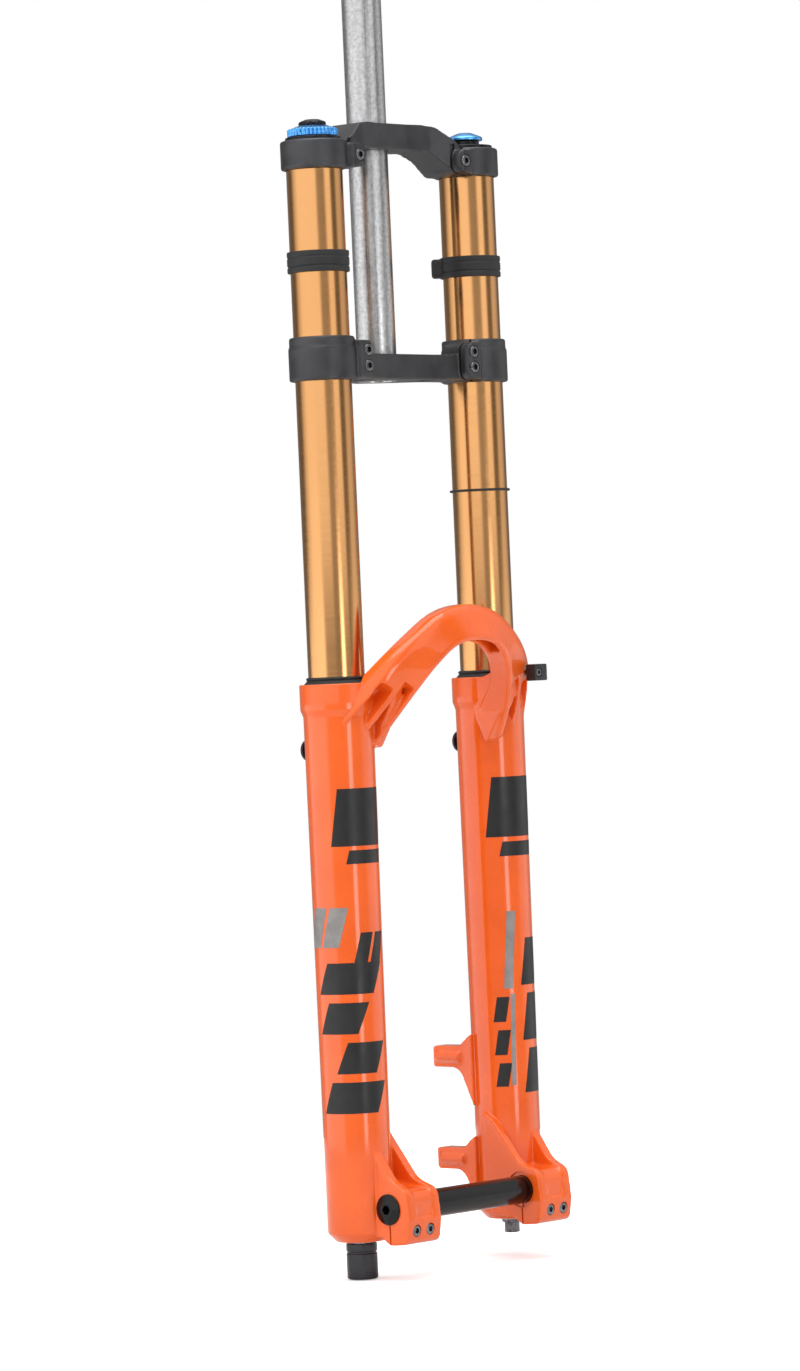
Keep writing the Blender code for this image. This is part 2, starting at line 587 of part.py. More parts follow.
def make_air_top():
    """Air spring top cap, its valve, and the cap over the valve."""
    place = (LEFT * LEG_X, LEG_Y, 0)
    collar_r, collar_top = AIR_CAP_R - 0.0025, FLANGE_TOP + 0.0036
    cap = [(collar_r, collar_top), (collar_r, FLANGE_TOP), (CAP_FLANGE_R - 0.0006, FLANGE_TOP),
           (CAP_FLANGE_R, FLANGE_TOP - 0.0006), (CAP_FLANGE_R, FLANGE_BASE),
           (CAP_PLUG_R, FLANGE_BASE), (CAP_PLUG_R, CAP_BASE), (VALVE_R + GAP, CAP_BASE),
           (VALVE_R + GAP, collar_top)]
    turned("air_top_cap", cap, place, BLACK_METAL, ring=True)
    valve_top = collar_top + 0.0036
    valve = [(0, valve_top - 0.004), (0.0022, valve_top - 0.004), (0.0022, valve_top),
             (VALVE_R - 0.0004, valve_top), (VALVE_R, valve_top - 0.0005), (VALVE_R, CAP_BASE + 0.002),
             (0, CAP_BASE + 0.002)]
    turned("air_valve", valve, place, STEEL, TINY)
    base = collar_top + GAP
    rim = AIR_CAP_R - 0.0020
    roof = valve_top + GAP * 2 - base
    cover = [(0, roof + 0.0022), (0.0030, roof + 0.0020), (AIR_CAP_R - 0.0005, 0.0024),
             (AIR_CAP_R, 0.0018), (AIR_CAP_R, 0), (rim - 0.004, 0), (rim - 0.005, roof * 0.5),
             (VALVE_R + 0.0006, roof), (0, roof)]
    turned("air_cap", cover, (place[0], place[1], base), BLUE_METAL, ROUND)


def make_seal_heads():
    tube("damper_seal_head", CARTRIDGE_R - CARTRIDGE_WALL - GAP, ROD_R + GAP, SEAL_HEAD_BASE,
         SEAL_HEAD_TOP, (RIGHT * LEG_X, LEG_Y, 0), BLACK_METAL, SMALL)
    tube("air_seal_head", STANCHION_BORE - 0.0004, ROD_R + GAP, SEAL_HEAD_BASE, SEAL_HEAD_TOP,
         (LEFT * LEG_X, LEG_Y, 0), BLACK_METAL, ROUND)


# ---- Lower legs ----------------------------------------------------------------------------------
# Each section of the arch, from the middle to a leg: the outer and inner edge of the band as seen
# from the front (x, height above the rim), and how far ahead of the legs its front and back lie.
ARCH_HALF_SPAN = 0.081      # leg's axis from the middle, for the sections below
ARCH_COLLAR_R = 0.0267      # leg's collar, for the sections below
ARCH_SECTIONS = [
    {"outer": (0.000, 0.0505), "inner": (0.000, 0.0255), "front": (0.058, 0.065), "back": 0.045},
    {"outer": (0.030, 0.0450), "inner": (0.021, 0.0220), "front": (0.058, 0.064), "back": 0.044},
    {"outer": (0.056, 0.0265), "inner": (0.037, 0.0095), "front": (0.054, 0.059), "back": 0.039},
    {"outer": (0.073, 0.0095), "inner": (0.0475, -0.0065), "front": (0.047, 0.050), "back": 0.029},
    {"outer": (0.0875, -0.0080), "inner": (0.0560, -0.0240), "front": (0.036, 0.038), "back": 0.012},
    {"outer": (0.1005, -0.0290), "inner": (0.0640, -0.0450), "front": (0.020, 0.0225), "back": 0.002},
]


def arch_section(u):
    """The band's section at u, where 0 is the middle and 1 a leg, by a smooth curve."""
    last = len(ARCH_SECTIONS) - 1
    place = min(max(abs(u), 0) * last, last)
    i = min(int(place), last - 1)
    t = place - i + max(abs(u) - 1, 0) * last

    def flat(k):
        mirrored = -1 if k < 0 else 1
        section = ARCH_SECTIONS[min(abs(k), last)]
        x_scale = mirrored * LEG_X / ARCH_HALF_SPAN
        return [section["outer"][0] * x_scale, section["outer"][1], section["inner"][0] * x_scale,
                section["inner"][1], *section["front"], section["back"]]

    def curve(a, b, c, d):
        return 0.5 * (2 * b + (c - a) * t + (2 * a - 5 * b + 4 * c - d) * t * t
                      + (3 * b - a - 3 * c + d) * t ** 3)

    ends = [flat(i - 1), flat(i), flat(i + 1), flat(i + 2)]
    if i + 2 > last:
        ends[3] = [2 * b - a for a, b in zip(flat(i), flat(i + 1))]
    ox, oz, ix, iz, front_o, front_i, back = [curve(*four) for four in zip(*ends)]
    sign = -1 if u < 0 else 1
    return sign * ox, oz, sign * ix, iz, front_o, front_i, back


def band_point(u, v, w, rim_z):
    """A point of the band: v goes from its outer to its inner edge, w from its back to its front."""
    ox, oz, ix, iz, front_o, front_i, back = arch_section(u)
    front = front_o + (front_i - front_o) * v
    ahead = back + (front - back) * w + COLLAR_R - ARCH_COLLAR_R
    return Vector((ox + (ix - ox) * v, LEG_Y - ahead, rim_z + oz + (iz - oz) * v))


def band_loft(name, stations, ring):
    """Join the rings that (v, w) draws at each station into one closed solid."""
    mesh = bpy.data.meshes.new(name)
    form = bmesh.new()
    rings = [[form.verts.new(band_point(u, v, w, RIM_Z)) for v, w in ring(u)] for u in stations]
    count = len(rings[0])
    for one, two in zip(rings, rings[1:]):
        for k in range(count):
            form.faces.new((one[k], one[(k + 1) % count], two[(k + 1) % count], two[k]))
    form.faces.new(rings[0][::-1])
    form.faces.new(rings[-1])
    bmesh.ops.triangulate(form, faces=form.faces)
    bmesh.ops.recalc_face_normals(form, faces=form.faces)
    form.to_mesh(mesh)
    form.free()
    return add_object(name, mesh, None)


def arch_body():
    stations = [k / 9 for k in range(-9, 10)]
    rounded_band = [(0.0, 0.0), (0.0, 0.66), (0.20, 1.0), (0.90, 1.0), (1.0, 0.86), (1.0, 0.0)]
    arch = band_loft("arch", stations, lambda u: rounded_band)
    under = [(k + 0.5) / 8 for k in range(-4, 4)]
    hollow_band = [(0.42, 0.28), (0.42, 0.74), (1.3, 0.80), (1.3, 0.20)]
    channel = band_loft("arch_channel", under, lambda u: hollow_band)
    cuts = [channel, leg_core(LEFT, "left", "arch"), leg_core(RIGHT, "right", "arch")]
    for side in (LEFT, RIGHT):
        for name, start, v0, v1 in (("outer", 0.70, 0.13, 0.44), ("inner", 0.61, 0.57, 0.89)):
            steps = 4
            reach = [side * (start + (1.12 - start) * k / steps) for k in range(steps + 1)]
            tag = "left" if side > 0 else "right"

            def ring(u, v0=v0, v1=v1):
                _, _, _, _, front_o, _, back = arch_section(u)
                floor = ARCH_WEB / (front_o - back)
                return [(v0, floor), (v0, 1.6), (v1, 1.6), (v1, floor)]

            cuts.append(band_loft(f"arch_pocket_{name}_{tag}", reach, ring))
    cut(arch, *cuts)
    return settle(arch)


def leg_body(side, tag):
    """One leg: a tapering tube with a collar, a seal seat, a floor and a hole for the foot bolt."""
    top = RIM_Z
    seat = RIM_Z - SEAL_SEAT_DEPTH
    foot_hole = FOOT_R + GAP
    outside = [(COLLAR_R, top), (COLLAR_R, top - COLLAR_HEIGHT),
               (LEG_TOP_R, top - COLLAR_HEIGHT - COLLAR_TAPER),
               (LEG_FOOT_R, AXLE_Z + 0.040), (LEG_FOOT_R, LEG_BASE + 0.0062),
               (LEG_FOOT_R - 0.0060, LEG_BASE)]
    inside = [(foot_hole, LEG_BASE), (foot_hole, FLOOR_Z), (BORE_R, FLOOR_Z), (BORE_R, seat),
              (SEAL_SEAT_R, seat), (SEAL_SEAT_R, top)]
    return turned(f"leg_{tag}", outside + inside, (side * LEG_X, LEG_Y, 0), steps=ROUND, ring=True)


def leg_core(side, tag, name):
    """What keeps a piece that joins the leg out of its bore: it ends inside the leg's wall."""
    seat = RIM_Z - SEAL_SEAT_DEPTH - 0.0020
    profile = [(0, RIM_Z + 0.004), (SEAL_SEAT_R + 0.0010, RIM_Z + 0.004), (SEAL_SEAT_R + 0.0010, seat),
               (BORE_R + 0.0008, seat - 0.0010), (BORE_R + 0.0008, FLOOR_Z - 0.002), (0, FLOOR_Z - 0.002)]
    return turned(f"{name}_core_{tag}", profile, (side * LEG_X, LEG_Y, 0), steps=ROUND, phase=0.05)


def dropout_body(side, tag):
    """The two webs that carry the axle boss and the pinch block ahead of the leg."""
    front = -AXLE_R - BOSS_WALL
    foot = -PINCH_BOLT_DROP - 0.0105
    corners = [(AXLE_R + 0.0025, 0.050, 0), (-0.0020, AXLE_R + 0.0100, 0.014),
               (front + 0.0025, AXLE_R + 0.0035, 0.008), (front, -0.0080, 0.006),
               (front + 0.0025, foot + 0.001, 0.006), (0.0005, foot, 0.003),
               (0.0080, foot + 0.005, 0.003), (AXLE_OFFSET - 0.010, foot + 0.0065, 0),
               (AXLE_OFFSET - 0.010, 0.050, 0)]
    outline = [Vector((AXLE_Y + p.x, AXLE_Z + p.y)) for p in filleted(corners)]
    low, high = sorted((side * DROPOUT_INNER, side * DROPOUT_OUTER))
    dropout = plate(f"dropout_{tag}", outline, low, high, "YZ")
    inside = AXLE_OFFSET - 0.004
    hollow = [(inside, 0.060, 0), (front - 0.011, 0.060, 0), (front - 0.011, AXLE_R + 0.0050, 0),
              (0.0040, AXLE_R + 0.0060, 0.004), (inside, AXLE_R + 0.0120, 0)]
    hollow = [Vector((AXLE_Y + p.x, AXLE_Z + p.y)) for p in filleted(hollow)]
    low, high = sorted((side * (DROPOUT_INNER + 0.007), side * (DROPOUT_OUTER - 0.008)))
    panel = box(f"dropout_panel_{tag}", (low + 0.001, AXLE_Y + front - 0.011, AXLE_Z - 0.0065),
                (high - 0.001, AXLE_Y + front + 0.0020, AXLE_Z + 0.0065))
    hollow = plate(f"dropout_hollow_{tag}", hollow, low, high, "YZ")
    inner, outer = sorted((side * (HUB_FACE - 0.01), side * HUB_FACE))
    recess = rod(f"hub_recess_{tag}", HUB_RECESS_R, inner, outer, (0, AXLE_Y, AXLE_Z), axis="+X",
                 steps=ROUND, phase=0.06)
    low, high = sorted((side * (DROPOUT_INNER - 0.002), side * (DROPOUT_OUTER + 0.002)))
    bore = rod(f"axle_bore_{tag}", AXLE_R + GAP, low, high, (0, AXLE_Y, AXLE_Z), axis="+X", steps=ROUND,
               phase=0.03)
    slit = box(f"pinch_slit_{tag}", (low, AXLE_Y - 0.0012, AXLE_Z + foot - 0.0045),
               (high, AXLE_Y + 0.0002, AXLE_Z - 0.004))
    holes = [bolt_hole(f"pinch_hole_{tag}_{k + 1}", pinch_bolt_seat(side, k), "-Y", PINCH_BOLT_HEAD_R,
                       PINCH_BOLT_R, PINCH_BOLT_SHANK) for k in (-1, 1)]
    cut(dropout, hollow, panel, leg_core(side, tag, "dropout"), recess, bore, slit, *holes)
    return settle(dropout)


def post_bodies():
    """Two brake posts on the back of the left leg, each with a web to the leg."""
    pieces = []
    for tag, height in (("lower", AXLE_Z + LOWER_POST_RISE),
                        ("upper", AXLE_Z + LOWER_POST_RISE + POST_PITCH)):
        end = LEG_Y + POST_REACH
        post = rod(f"brake_post_{tag}", POST_R, 0, POST_REACH, (POST_X, LEG_Y, height), axis="+Y",
                   steps=SMALL, phase=0.07)
        corners = [(LEG_Y, -0.022, 0), (LEG_Y + LEG_FOOT_R + 0.0005, -0.0125, 0.006),
                   (end - 0.010, -0.0068, 0), (end - 0.010, 0.0068, 0),
                   (LEG_Y + LEG_FOOT_R + 0.0045, 0.0088, 0.004), (LEG_Y, 0.021, 0)]
        outline = [Vector((p.x, height + p.y)) for p in filleted(corners)]
        web_end = LEG_X - LEG_FOOT_R + 0.0125
        join(post, plate(f"brake_web_{tag}", outline, POST_X - 0.006, web_end, "YZ"))
        cut(post, leg_core(LEFT, tag, "brake_post"))
        pieces.append(settle(post))
    return pieces


def pinch_bolt_seat(side, k):
    middle = side * (DROPOUT_INNER + 0.0185)
    return (middle + k * PINCH_BOLT_PITCH / 2, AXLE_Y - AXLE_R - 0.0040, AXLE_Z - PINCH_BOLT_DROP)


def make_lower_casting():
    """One magnesium casting: both legs, the arch, the dropouts and the brake posts."""
    casting = leg_body(LEFT, "left")
    casting.name = "lower_casting"
    CUTTERS.objects.unlink(casting)
    FORK.objects.link(casting)
    casting.hide_render = False
    casting.display_type = "TEXTURED"
    casting.data.materials.append(PAINT)
    added = [leg_body(RIGHT, "right"), arch_body(), dropout_body(LEFT, "left"),
             dropout_body(RIGHT, "right"), *post_bodies()]
    cuts = []
    for side, tag in ((LEFT, "left"), (RIGHT, "right")):
        place = (side * LEG_X, LEG_Y, RIM_Z - BLEEDER_DROP)
        added.append(rod(f"bleeder_boss_{tag}", BLEEDER_R, BORE_R + 0.0012, BLEEDER_BOSS_END, place,
                         axis="+Y", steps=SMALL, phase=0.05))
        cuts.append(rod(f"bleeder_hole_{tag}", BLEEDER_STEM_R + GAP, 0.012, 0.040, place, axis="+Y",
                        steps=TINY, phase=0.11))
    for tag, height in (("lower", LOWER_POST_RISE), ("upper", LOWER_POST_RISE + POST_PITCH)):
        cuts.append(rod(f"brake_post_hole_{tag}", POST_HOLE_R, POST_REACH - 0.016, POST_REACH + 0.002,
                        (POST_X, LEG_Y, AXLE_Z + height), axis="+Y", steps=TINY))
    cuts.append(rod("guide_screw_hole", GUIDE_SCREW_R + GAP, -GUIDE_SCREW_SHANK - GAP, 0.02,
                    guide_screw_seat(), axis="-Y", steps=TINY))
    join(casting, *added)
    cut(casting, *cuts)
    return settle(casting)


def make_leg_inner_parts():
    for side, tag in ((LEFT, "left"), (RIGHT, "right")):
        place = (side * LEG_X, LEG_Y, 0)
        inner = STANCHION_R + GAP
        wiper_r = SEAL_SEAT_R - GAP
        lip = STANCHION_R + 0.0017
        foot = RIM_Z - SEAL_SEAT_DEPTH + FOAM_HEIGHT + 2 * GAP
        wiper = [(lip - 0.0008, RIM_Z + WIPER_PROUD), (lip, RIM_Z + WIPER_PROUD - 0.0010),
                 (lip - 0.0003, RIM_Z + 0.0026), (lip + 0.0006, RIM_Z + 0.0008),
                 (wiper_r, RIM_Z - 0.0006), (wiper_r, foot), (inner, foot),
                 (inner, RIM_Z + WIPER_PROUD)]
        turned(f"wiper_seal_{tag}", wiper, place, RUBBER, ring=True)
        tube(f"foam_ring_{tag}", wiper_r, inner, foot - GAP - FOAM_HEIGHT, foot - GAP, place, FOAM)
        bushing_r = BORE_R - GAP
        upper_top = RIM_Z - SEAL_SEAT_DEPTH - 0.004
        tube(f"upper_bushing_{tag}", bushing_r, inner, upper_top - BUSHING_HEIGHT, upper_top, place,
             STEEL)
        lower_base = STANCHION_BASE + 0.010
        tube(f"lower_bushing_{tag}", bushing_r, inner, lower_base, lower_base + BUSHING_HEIGHT, place,
             STEEL)


def make_shafts():
    for side, name, piston_r in ((RIGHT, "damper", CARTRIDGE_R - CARTRIDGE_WALL - 0.0004),
                                 (LEFT, "air", STANCHION_BORE - 0.0004)):
        place = (side * LEG_X, LEG_Y, 0)
        shaft = "damper_rod" if name == "damper" else "air_shaft"
        neck = ROD_R - 0.0010
        profile = [(0, PISTON_TOP - 0.002), (neck, PISTON_TOP - 0.002), (neck, PISTON_BASE - GAP),
                   (ROD_R, PISTON_BASE - GAP), (ROD_R, FLOOR_Z + GAP), (0, FLOOR_Z + GAP)]
        turned(shaft, profile, place, STEEL, SMALL)
        piston = [(piston_r, PISTON_TOP), (piston_r, PISTON_BASE), (neck + GAP, PISTON_BASE),
                  (neck + GAP, PISTON_TOP)]
        turned(f"{name}_piston", piston, place, BLACK_METAL, SMALL, ring=True)


def make_feet():
    """What closes each leg's foot: a crush washer, a stud or bolt, the rebound knobs and their cap."""
    right = (RIGHT * LEG_X, LEG_Y, LEG_BASE)
    left = (LEFT * LEG_X, LEG_Y, LEG_BASE)
    for place, tag in ((left, "left"), (right, "right")):
        tube(f"crush_washer_{tag}", WASHER_R, FOOT_R + GAP, -GAP - WASHER, -GAP, place, GREY_METAL,
             SMALL)
    under = -GAP * 2 - WASHER
    nut_r = REBOUND_CAP_R - REBOUND_CAP_WALL - 0.0009
    nut_base = under - NUT_HEIGHT
    stud = [(0, FLOOR - GAP), (FOOT_R, FLOOR - GAP), (FOOT_R, under), (nut_r, under),
            (nut_r, nut_base), (SPINDLE_R, nut_base), (SPINDLE_R, nut_base - SPINDLE_LENGTH),
            (0, nut_base - SPINDLE_LENGTH)]
    turned("damper_foot_stud", stud, right, STEEL, SMALL)
    high_top = nut_base - GAP
    tube("rebound_high_knob", nut_r - 0.0007, SPINDLE_R + GAP, high_top - 0.0064, high_top, right,
         BLUE_METAL, SMALL)
    low_top = nut_base - SPINDLE_LENGTH - GAP
    low_end = -REBOUND_CAP_LENGTH + REBOUND_CAP_WALL + 0.003
    rod("rebound_low_knob", 0.0052, low_end, low_top, right, BLUE_METAL, SMALL)
    cap_top = under - 0.0001
    inner = REBOUND_CAP_R - REBOUND_CAP_WALL
    floor = -REBOUND_CAP_LENGTH + REBOUND_CAP_WALL
    cap = [(0, floor), (inner, floor), (inner, cap_top), (REBOUND_CAP_R, cap_top),
           (REBOUND_CAP_R, -REBOUND_CAP_LENGTH + 0.0012),
           (REBOUND_CAP_R - 0.0012, -REBOUND_CAP_LENGTH), (0, -REBOUND_CAP_LENGTH)]
    turned("rebound_cap", cap, right, BLACK_METAL, ROUND)
    bolt = [(0, FLOOR - GAP), (FOOT_R, FLOOR - GAP), (FOOT_R, under), (0.0072, under),
            (0.0072, under - 0.0016), (0.0055, under - 0.0020), (0.0055, -0.0112), (0, -0.0112)]
    turned("air_foot_bolt", bolt, left, STEEL, SMALL)


def make_axle():
    """The 20 mm axle, drawn out through the right dropout; its origin is on its axis."""
    head = -DROPOUT_OUTER - GAP
    profile = [(0, AXLE_HEAD_PROUD), (0.004, AXLE_HEAD_PROUD), (AXLE_HEAD_R - 0.0005, 0.0008),
               (AXLE_HEAD_R, 0.0003), (AXLE_HEAD_R, 0), (AXLE_R, 0),
               (AXLE_R, -2 * DROPOUT_OUTER + 0.002), (AXLE_R - AXLE_WALL, -2 * DROPOUT_OUTER + 0.002),
               (AXLE_R - AXLE_WALL, -0.012), (0, -0.012)]
    place = (head, AXLE_Y, AXLE_Z)
    axle = turned("axle", profile, place, BLACK_METAL, ROUND, "-X")
    cut(axle, hexagon("axle_socket", 0.006, -0.006, 0.004, place, "-X"))
    return settle(axle)


def make_pinch_bolts():
    number = 0
    for side in (LEFT, RIGHT):
        for k in (-1, 1):
            number += 1
            socket_bolt(f"axle_pinch_bolt_{number}", pinch_bolt_seat(side, k), "-Y",
                        PINCH_BOLT_HEAD_R, PINCH_BOLT_HEAD, PINCH_BOLT_R, PINCH_BOLT_SHANK)


def make_bleeders():
    """Push buttons that let trapped air out of the legs."""
    under = BLEEDER_TRAVEL + 2 * GAP
    profile = [(0, under + 0.0028), (0.0055, under + 0.0026), (BLEEDER_R - 0.0006, under + 0.0018),
               (BLEEDER_R, under + 0.0010), (BLEEDER_R, under), (BLEEDER_STEM_R, under),
               (BLEEDER_STEM_R, -0.0022), (0, -0.0022)]
    for side, tag in ((LEFT, "left"), (RIGHT, "right")):
        place = (side * LEG_X, LEG_Y + BLEEDER_BOSS_END, RIM_Z - BLEEDER_DROP)
        turned(f"bleeder_button_{tag}", profile, place, PLASTIC, SMALL, "+Y")


def guide_place():
    """The middle of the hose guide's back face, just ahead of the arch's left shoulder."""
    shoulder = band_point(0.62, 0.20, 1.0, RIM_Z)
    return Vector((shoulder.x + 0.004, shoulder.y - 0.0020, shoulder.z - 0.003))


def guide_screw_seat():
    place = guide_place()
    return Vector((place.x - 0.0025, place.y - GUIDE_SIZE.y + 0.0022, place.z))


def make_hose_guide():
    place = guide_place()
    low = (place.x - GUIDE_SIZE.x / 2, place.y - GUIDE_SIZE.y, place.z - GUIDE_SIZE.z / 2)
    high = (place.x + GUIDE_SIZE.x / 2, place.y, place.z + GUIDE_SIZE.z / 2)
    guide = box("hose_guide", low, high, PLASTIC)
    channel = rod("hose_channel", 0.0026, -0.02, 0.02, (place.x + 0.0038, place.y - 0.0062, place.z),
                  axis="+Z", steps=TINY)
    seat = guide_screw_seat()
    hole = bolt_hole("hose_guide_hole", seat, "-Y", GUIDE_SCREW_HEAD_R, GUIDE_SCREW_R, GUIDE_SCREW_SHANK)
    cut(guide, channel, hole)
    settle(guide)
    socket_bolt("hose_guide_screw", seat, "-Y", GUIDE_SCREW_HEAD_R, GUIDE_SCREW_HEAD, GUIDE_SCREW_R,
                GUIDE_SCREW_SHANK)


def main():
    clear_scene()
    make_lower_crown()
    make_upper_crown()
    make_crown_bolts()
    make_upper_tubes()
    make_bumper(LEFT, "left")
    make_bumper(RIGHT, "right")
    make_oring()
    make_damper_top()
    make_air_top()
    make_seal_heads()
    make_lower_casting()
    make_leg_inner_parts()
    make_shafts()
    make_feet()
    make_axle()
    make_pinch_bolts()
    make_bleeders()
    make_hose_guide()


main()
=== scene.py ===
# %% [markdown]
# # A double-crown bicycle suspension fork
# The fork arrives as a fixed engineering model whose bodies already move on their joints. This lesson
# dresses it: the visible pieces are modelled again with rounder surfaces and real edges, and every
# surface gets a procedural finish. Nothing here changes a size.

import math

import bpy
from mathutils import Matrix, Vector


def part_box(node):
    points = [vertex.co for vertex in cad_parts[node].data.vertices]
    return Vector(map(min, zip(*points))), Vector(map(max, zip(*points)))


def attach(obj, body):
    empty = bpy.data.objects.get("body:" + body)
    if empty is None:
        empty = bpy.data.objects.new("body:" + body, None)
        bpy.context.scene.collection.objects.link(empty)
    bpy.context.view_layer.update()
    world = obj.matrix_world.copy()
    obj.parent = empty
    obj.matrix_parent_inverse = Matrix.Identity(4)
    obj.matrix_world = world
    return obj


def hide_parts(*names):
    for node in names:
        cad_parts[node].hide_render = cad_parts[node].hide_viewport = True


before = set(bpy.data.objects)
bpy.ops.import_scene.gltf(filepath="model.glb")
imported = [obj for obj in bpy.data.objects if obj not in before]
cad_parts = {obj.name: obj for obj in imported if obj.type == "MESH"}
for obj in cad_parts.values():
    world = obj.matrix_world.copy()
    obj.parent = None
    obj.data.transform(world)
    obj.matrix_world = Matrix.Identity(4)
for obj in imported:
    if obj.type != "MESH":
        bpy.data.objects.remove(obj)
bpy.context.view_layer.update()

# %% [markdown]
# ## Sizes
# Places come from the boxes of the loaded parts, so a piece goes exactly where its part is. What a box
# can't tell, such as a wall, is named here in metres. The bicycle's front is towards -Y and its left
# leg is at +X.

# %% Sizes
LEFT, RIGHT = 1, -1
GAP = 0.0003


def corners_of(node):
    low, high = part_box(node)
    return Vector(low), Vector(high)


def span(node):
    """The lowest and the highest z of a node."""
    low, high = corners_of(node)
    return low.z, high.z


low, high = corners_of("stanchion_left")
LEG_X, LEG_Y = (low.x + high.x) / 2, (low.y + high.y) / 2
STANCHION_R, STANCHION_BASE, STANCHION_TOP = (high.x - low.x) / 2, low.z, high.z
low, high = corners_of("axle")
AXLE_Y, AXLE_Z = (low.y + high.y) / 2, (low.z + high.z) / 2
AXLE_END, AXLE_TIP = low.x, high.x
LOWER_BASE, LOWER_TOP = span("lower_crown")
UPPER_BASE, UPPER_TOP = span("upper_crown")
STEERER_R = corners_of("steerer_tube")[1].x
STEERER_BASE, STEERER_TOP = span("steerer_tube")
LIP_RISE = 0.0048
RIM_Z = span("wiper_seal_left")[1] - LIP_RISE
LEG_BASE = span("crush_washer_left")[1] + GAP
FLOOR_Z = LEG_BASE + 0.01
BORE_R = STANCHION_R + 0.0017
LEG_TOP_R, LEG_FOOT_R, COLLAR_R = BORE_R + 0.00305, BORE_R + 0.0018, BORE_R + 0.005
COLLAR_BASE, TAPER_TOP, TAPER_FOOT = RIM_Z - 0.018, RIM_Z - 0.023, AXLE_Z + 0.04
SEAL_R, SEAL_DEPTH = STANCHION_R + 0.0045, 0.021
CLAMP_R = STANCHION_R + GAP + 0.0037
EAR_IN, EAR_FRONT, SLIT = STANCHION_R + 0.0045, STANCHION_R + 0.0025, 0.0014
HUB_FACE, AXLE_R = 0.055, 0.01
DROPOUT_IN, DROPOUT_OUT = HUB_FACE - 0.0015, HUB_FACE + 0.033
POST_X, POST_END, POST_R = 0.062, corners_of("lower_casting")[1].y, 0.008
POST_Z = (AXLE_Z + 0.0205, AXLE_Z + 0.0205 + 0.0742)
BLEED_Z, BLEED_FACE, BLEED_R, BLEED_BOSS_R = RIM_Z - 0.0465, LEG_TOP_R + 0.0022, 0.0038, 0.008
LOWER_BOLTS_Z, UPPER_BOLT_Z = (LOWER_BASE + 0.0212, LOWER_BASE + 0.01), UPPER_BASE + 0.01
INSET = 0.0004  # how far the melted stubs stay inside the turned legs
SIDES = ((LEFT, "left"), (RIGHT, "right"))


def leg_at(side, height=0.0):
    return Vector((side * LEG_X, LEG_Y, height))


print(f"legs at x {LEG_X * 1000:.1f} mm, rim at z {RIM_Z * 1000:.1f} mm, axle at z {AXLE_Z * 1000:.1f} mm")

# %% [markdown]
# ## Camera
# A long lens from the right front, almost level with the middle of the fork, as for a catalogue. The
# camera is turned a little about its own axis, so the fork leans in the frame.

# %% Camera
AROUND, LIFT, TURN = math.radians(-47.751), math.radians(0.246), math.radians(-2.522)
LOOK_AT, DISTANCE = Vector((-0.01477, -0.022, -0.237)), 3.902
LENS, SENSOR = 143.15, 36.0
back = Vector((math.sin(AROUND) * math.cos(LIFT), -math.cos(AROUND) * math.cos(LIFT), math.sin(LIFT)))
right = Vector((math.cos(AROUND), math.sin(AROUND), 0))
upward = back.cross(right)
across = right * math.cos(TURN) + upward * math.sin(TURN)
above = upward * math.cos(TURN) - right * math.sin(TURN)
camera_data = bpy.data.cameras.new("camera")
camera_data.lens, camera_data.sensor_width, camera_data.sensor_fit = LENS, SENSOR, "AUTO"
camera = bpy.data.objects.new("camera", camera_data)
bpy.context.collection.objects.link(camera)
camera.matrix_world = Matrix((across, above, back)).transposed().to_4x4()
camera.location = LOOK_AT + back * DISTANCE
bpy.context.scene.camera = camera
print("camera at", [round(v, 3) for v in camera.location])

# %% [markdown]
# ## Helpers for materials
# One function turns the sRGB hex values that a colour picker gives into the linear values that Blender
# works in. One more adds a node with its settings and links. The rest make the patterns that the
# finishes share: a surface's colour, roughness and relief each follow a noise of their own size.

# %% Material helpers


def colour(code):
    parts = [int(code[i:i + 2], 16) / 255 for i in (1, 3, 5)]
    return tuple(c / 12.92 if c <= 0.04045 else ((c + 0.055) / 1.055) ** 2.4 for c in parts) + (1.0,)


def add(tree, kind, links=None, **settings):
    """A new node, with its settings and with a link or a value for each socket that links names."""
    made = tree.nodes.new(kind)
    for name, value in settings.items():
        setattr(made, name, value)
    for name, value in (links or {}).items():
        if isinstance(value, bpy.types.NodeSocket):
            tree.links.new(value, made.inputs[name])
        else:
            made.inputs[name].default_value = value
    return made


def start(name, **values):
    """A new material: its tree, its shader and the object's coordinates in metres."""
    material = bpy.data.materials.new(name)
    material.use_nodes = True
    tree = material.node_tree
    shader = tree.nodes["Principled BSDF"]
    for socket, value in values.items():
        shader.inputs[socket.replace("_", " ")].default_value = value
    return material, tree, shader, add(tree, "ShaderNodeTexCoord").outputs["Object"]


def grain(tree, where, size, stretch=(1, 1, 1), detail=3.0):
    """Noise whose features are about size metres across, pulled out along an axis by stretch."""
    mapped = add(tree, "ShaderNodeMapping", {"Vector": where, "Scale": tuple(1 / s for s in stretch)})
    return add(tree, "ShaderNodeTexNoise", {"Vector": mapped.outputs[0], "Scale": 0.5 / size,
                                            "Detail": detail}).outputs["Fac"]


def ramp(tree, value, low, high, start_at=0.35, end_at=0.65):
    """Spread a noise between two plain numbers."""
    return add(tree, "ShaderNodeMapRange", {"Value": value, "From Min": start_at, "From Max": end_at,
                                            "To Min": low, "To Max": high}).outputs[0]


def tint(tree, value, first, second, start_at=0.35, end_at=0.65):
    """Spread a noise between two colours."""
    made = add(tree, "ShaderNodeValToRGB", {"Fac": value})
    made.color_ramp.elements[0].position, made.color_ramp.elements[0].color = start_at, colour(first)
    made.color_ramp.elements[1].position, made.color_ramp.elements[1].color = end_at, colour(second)
    return made.outputs["Color"]


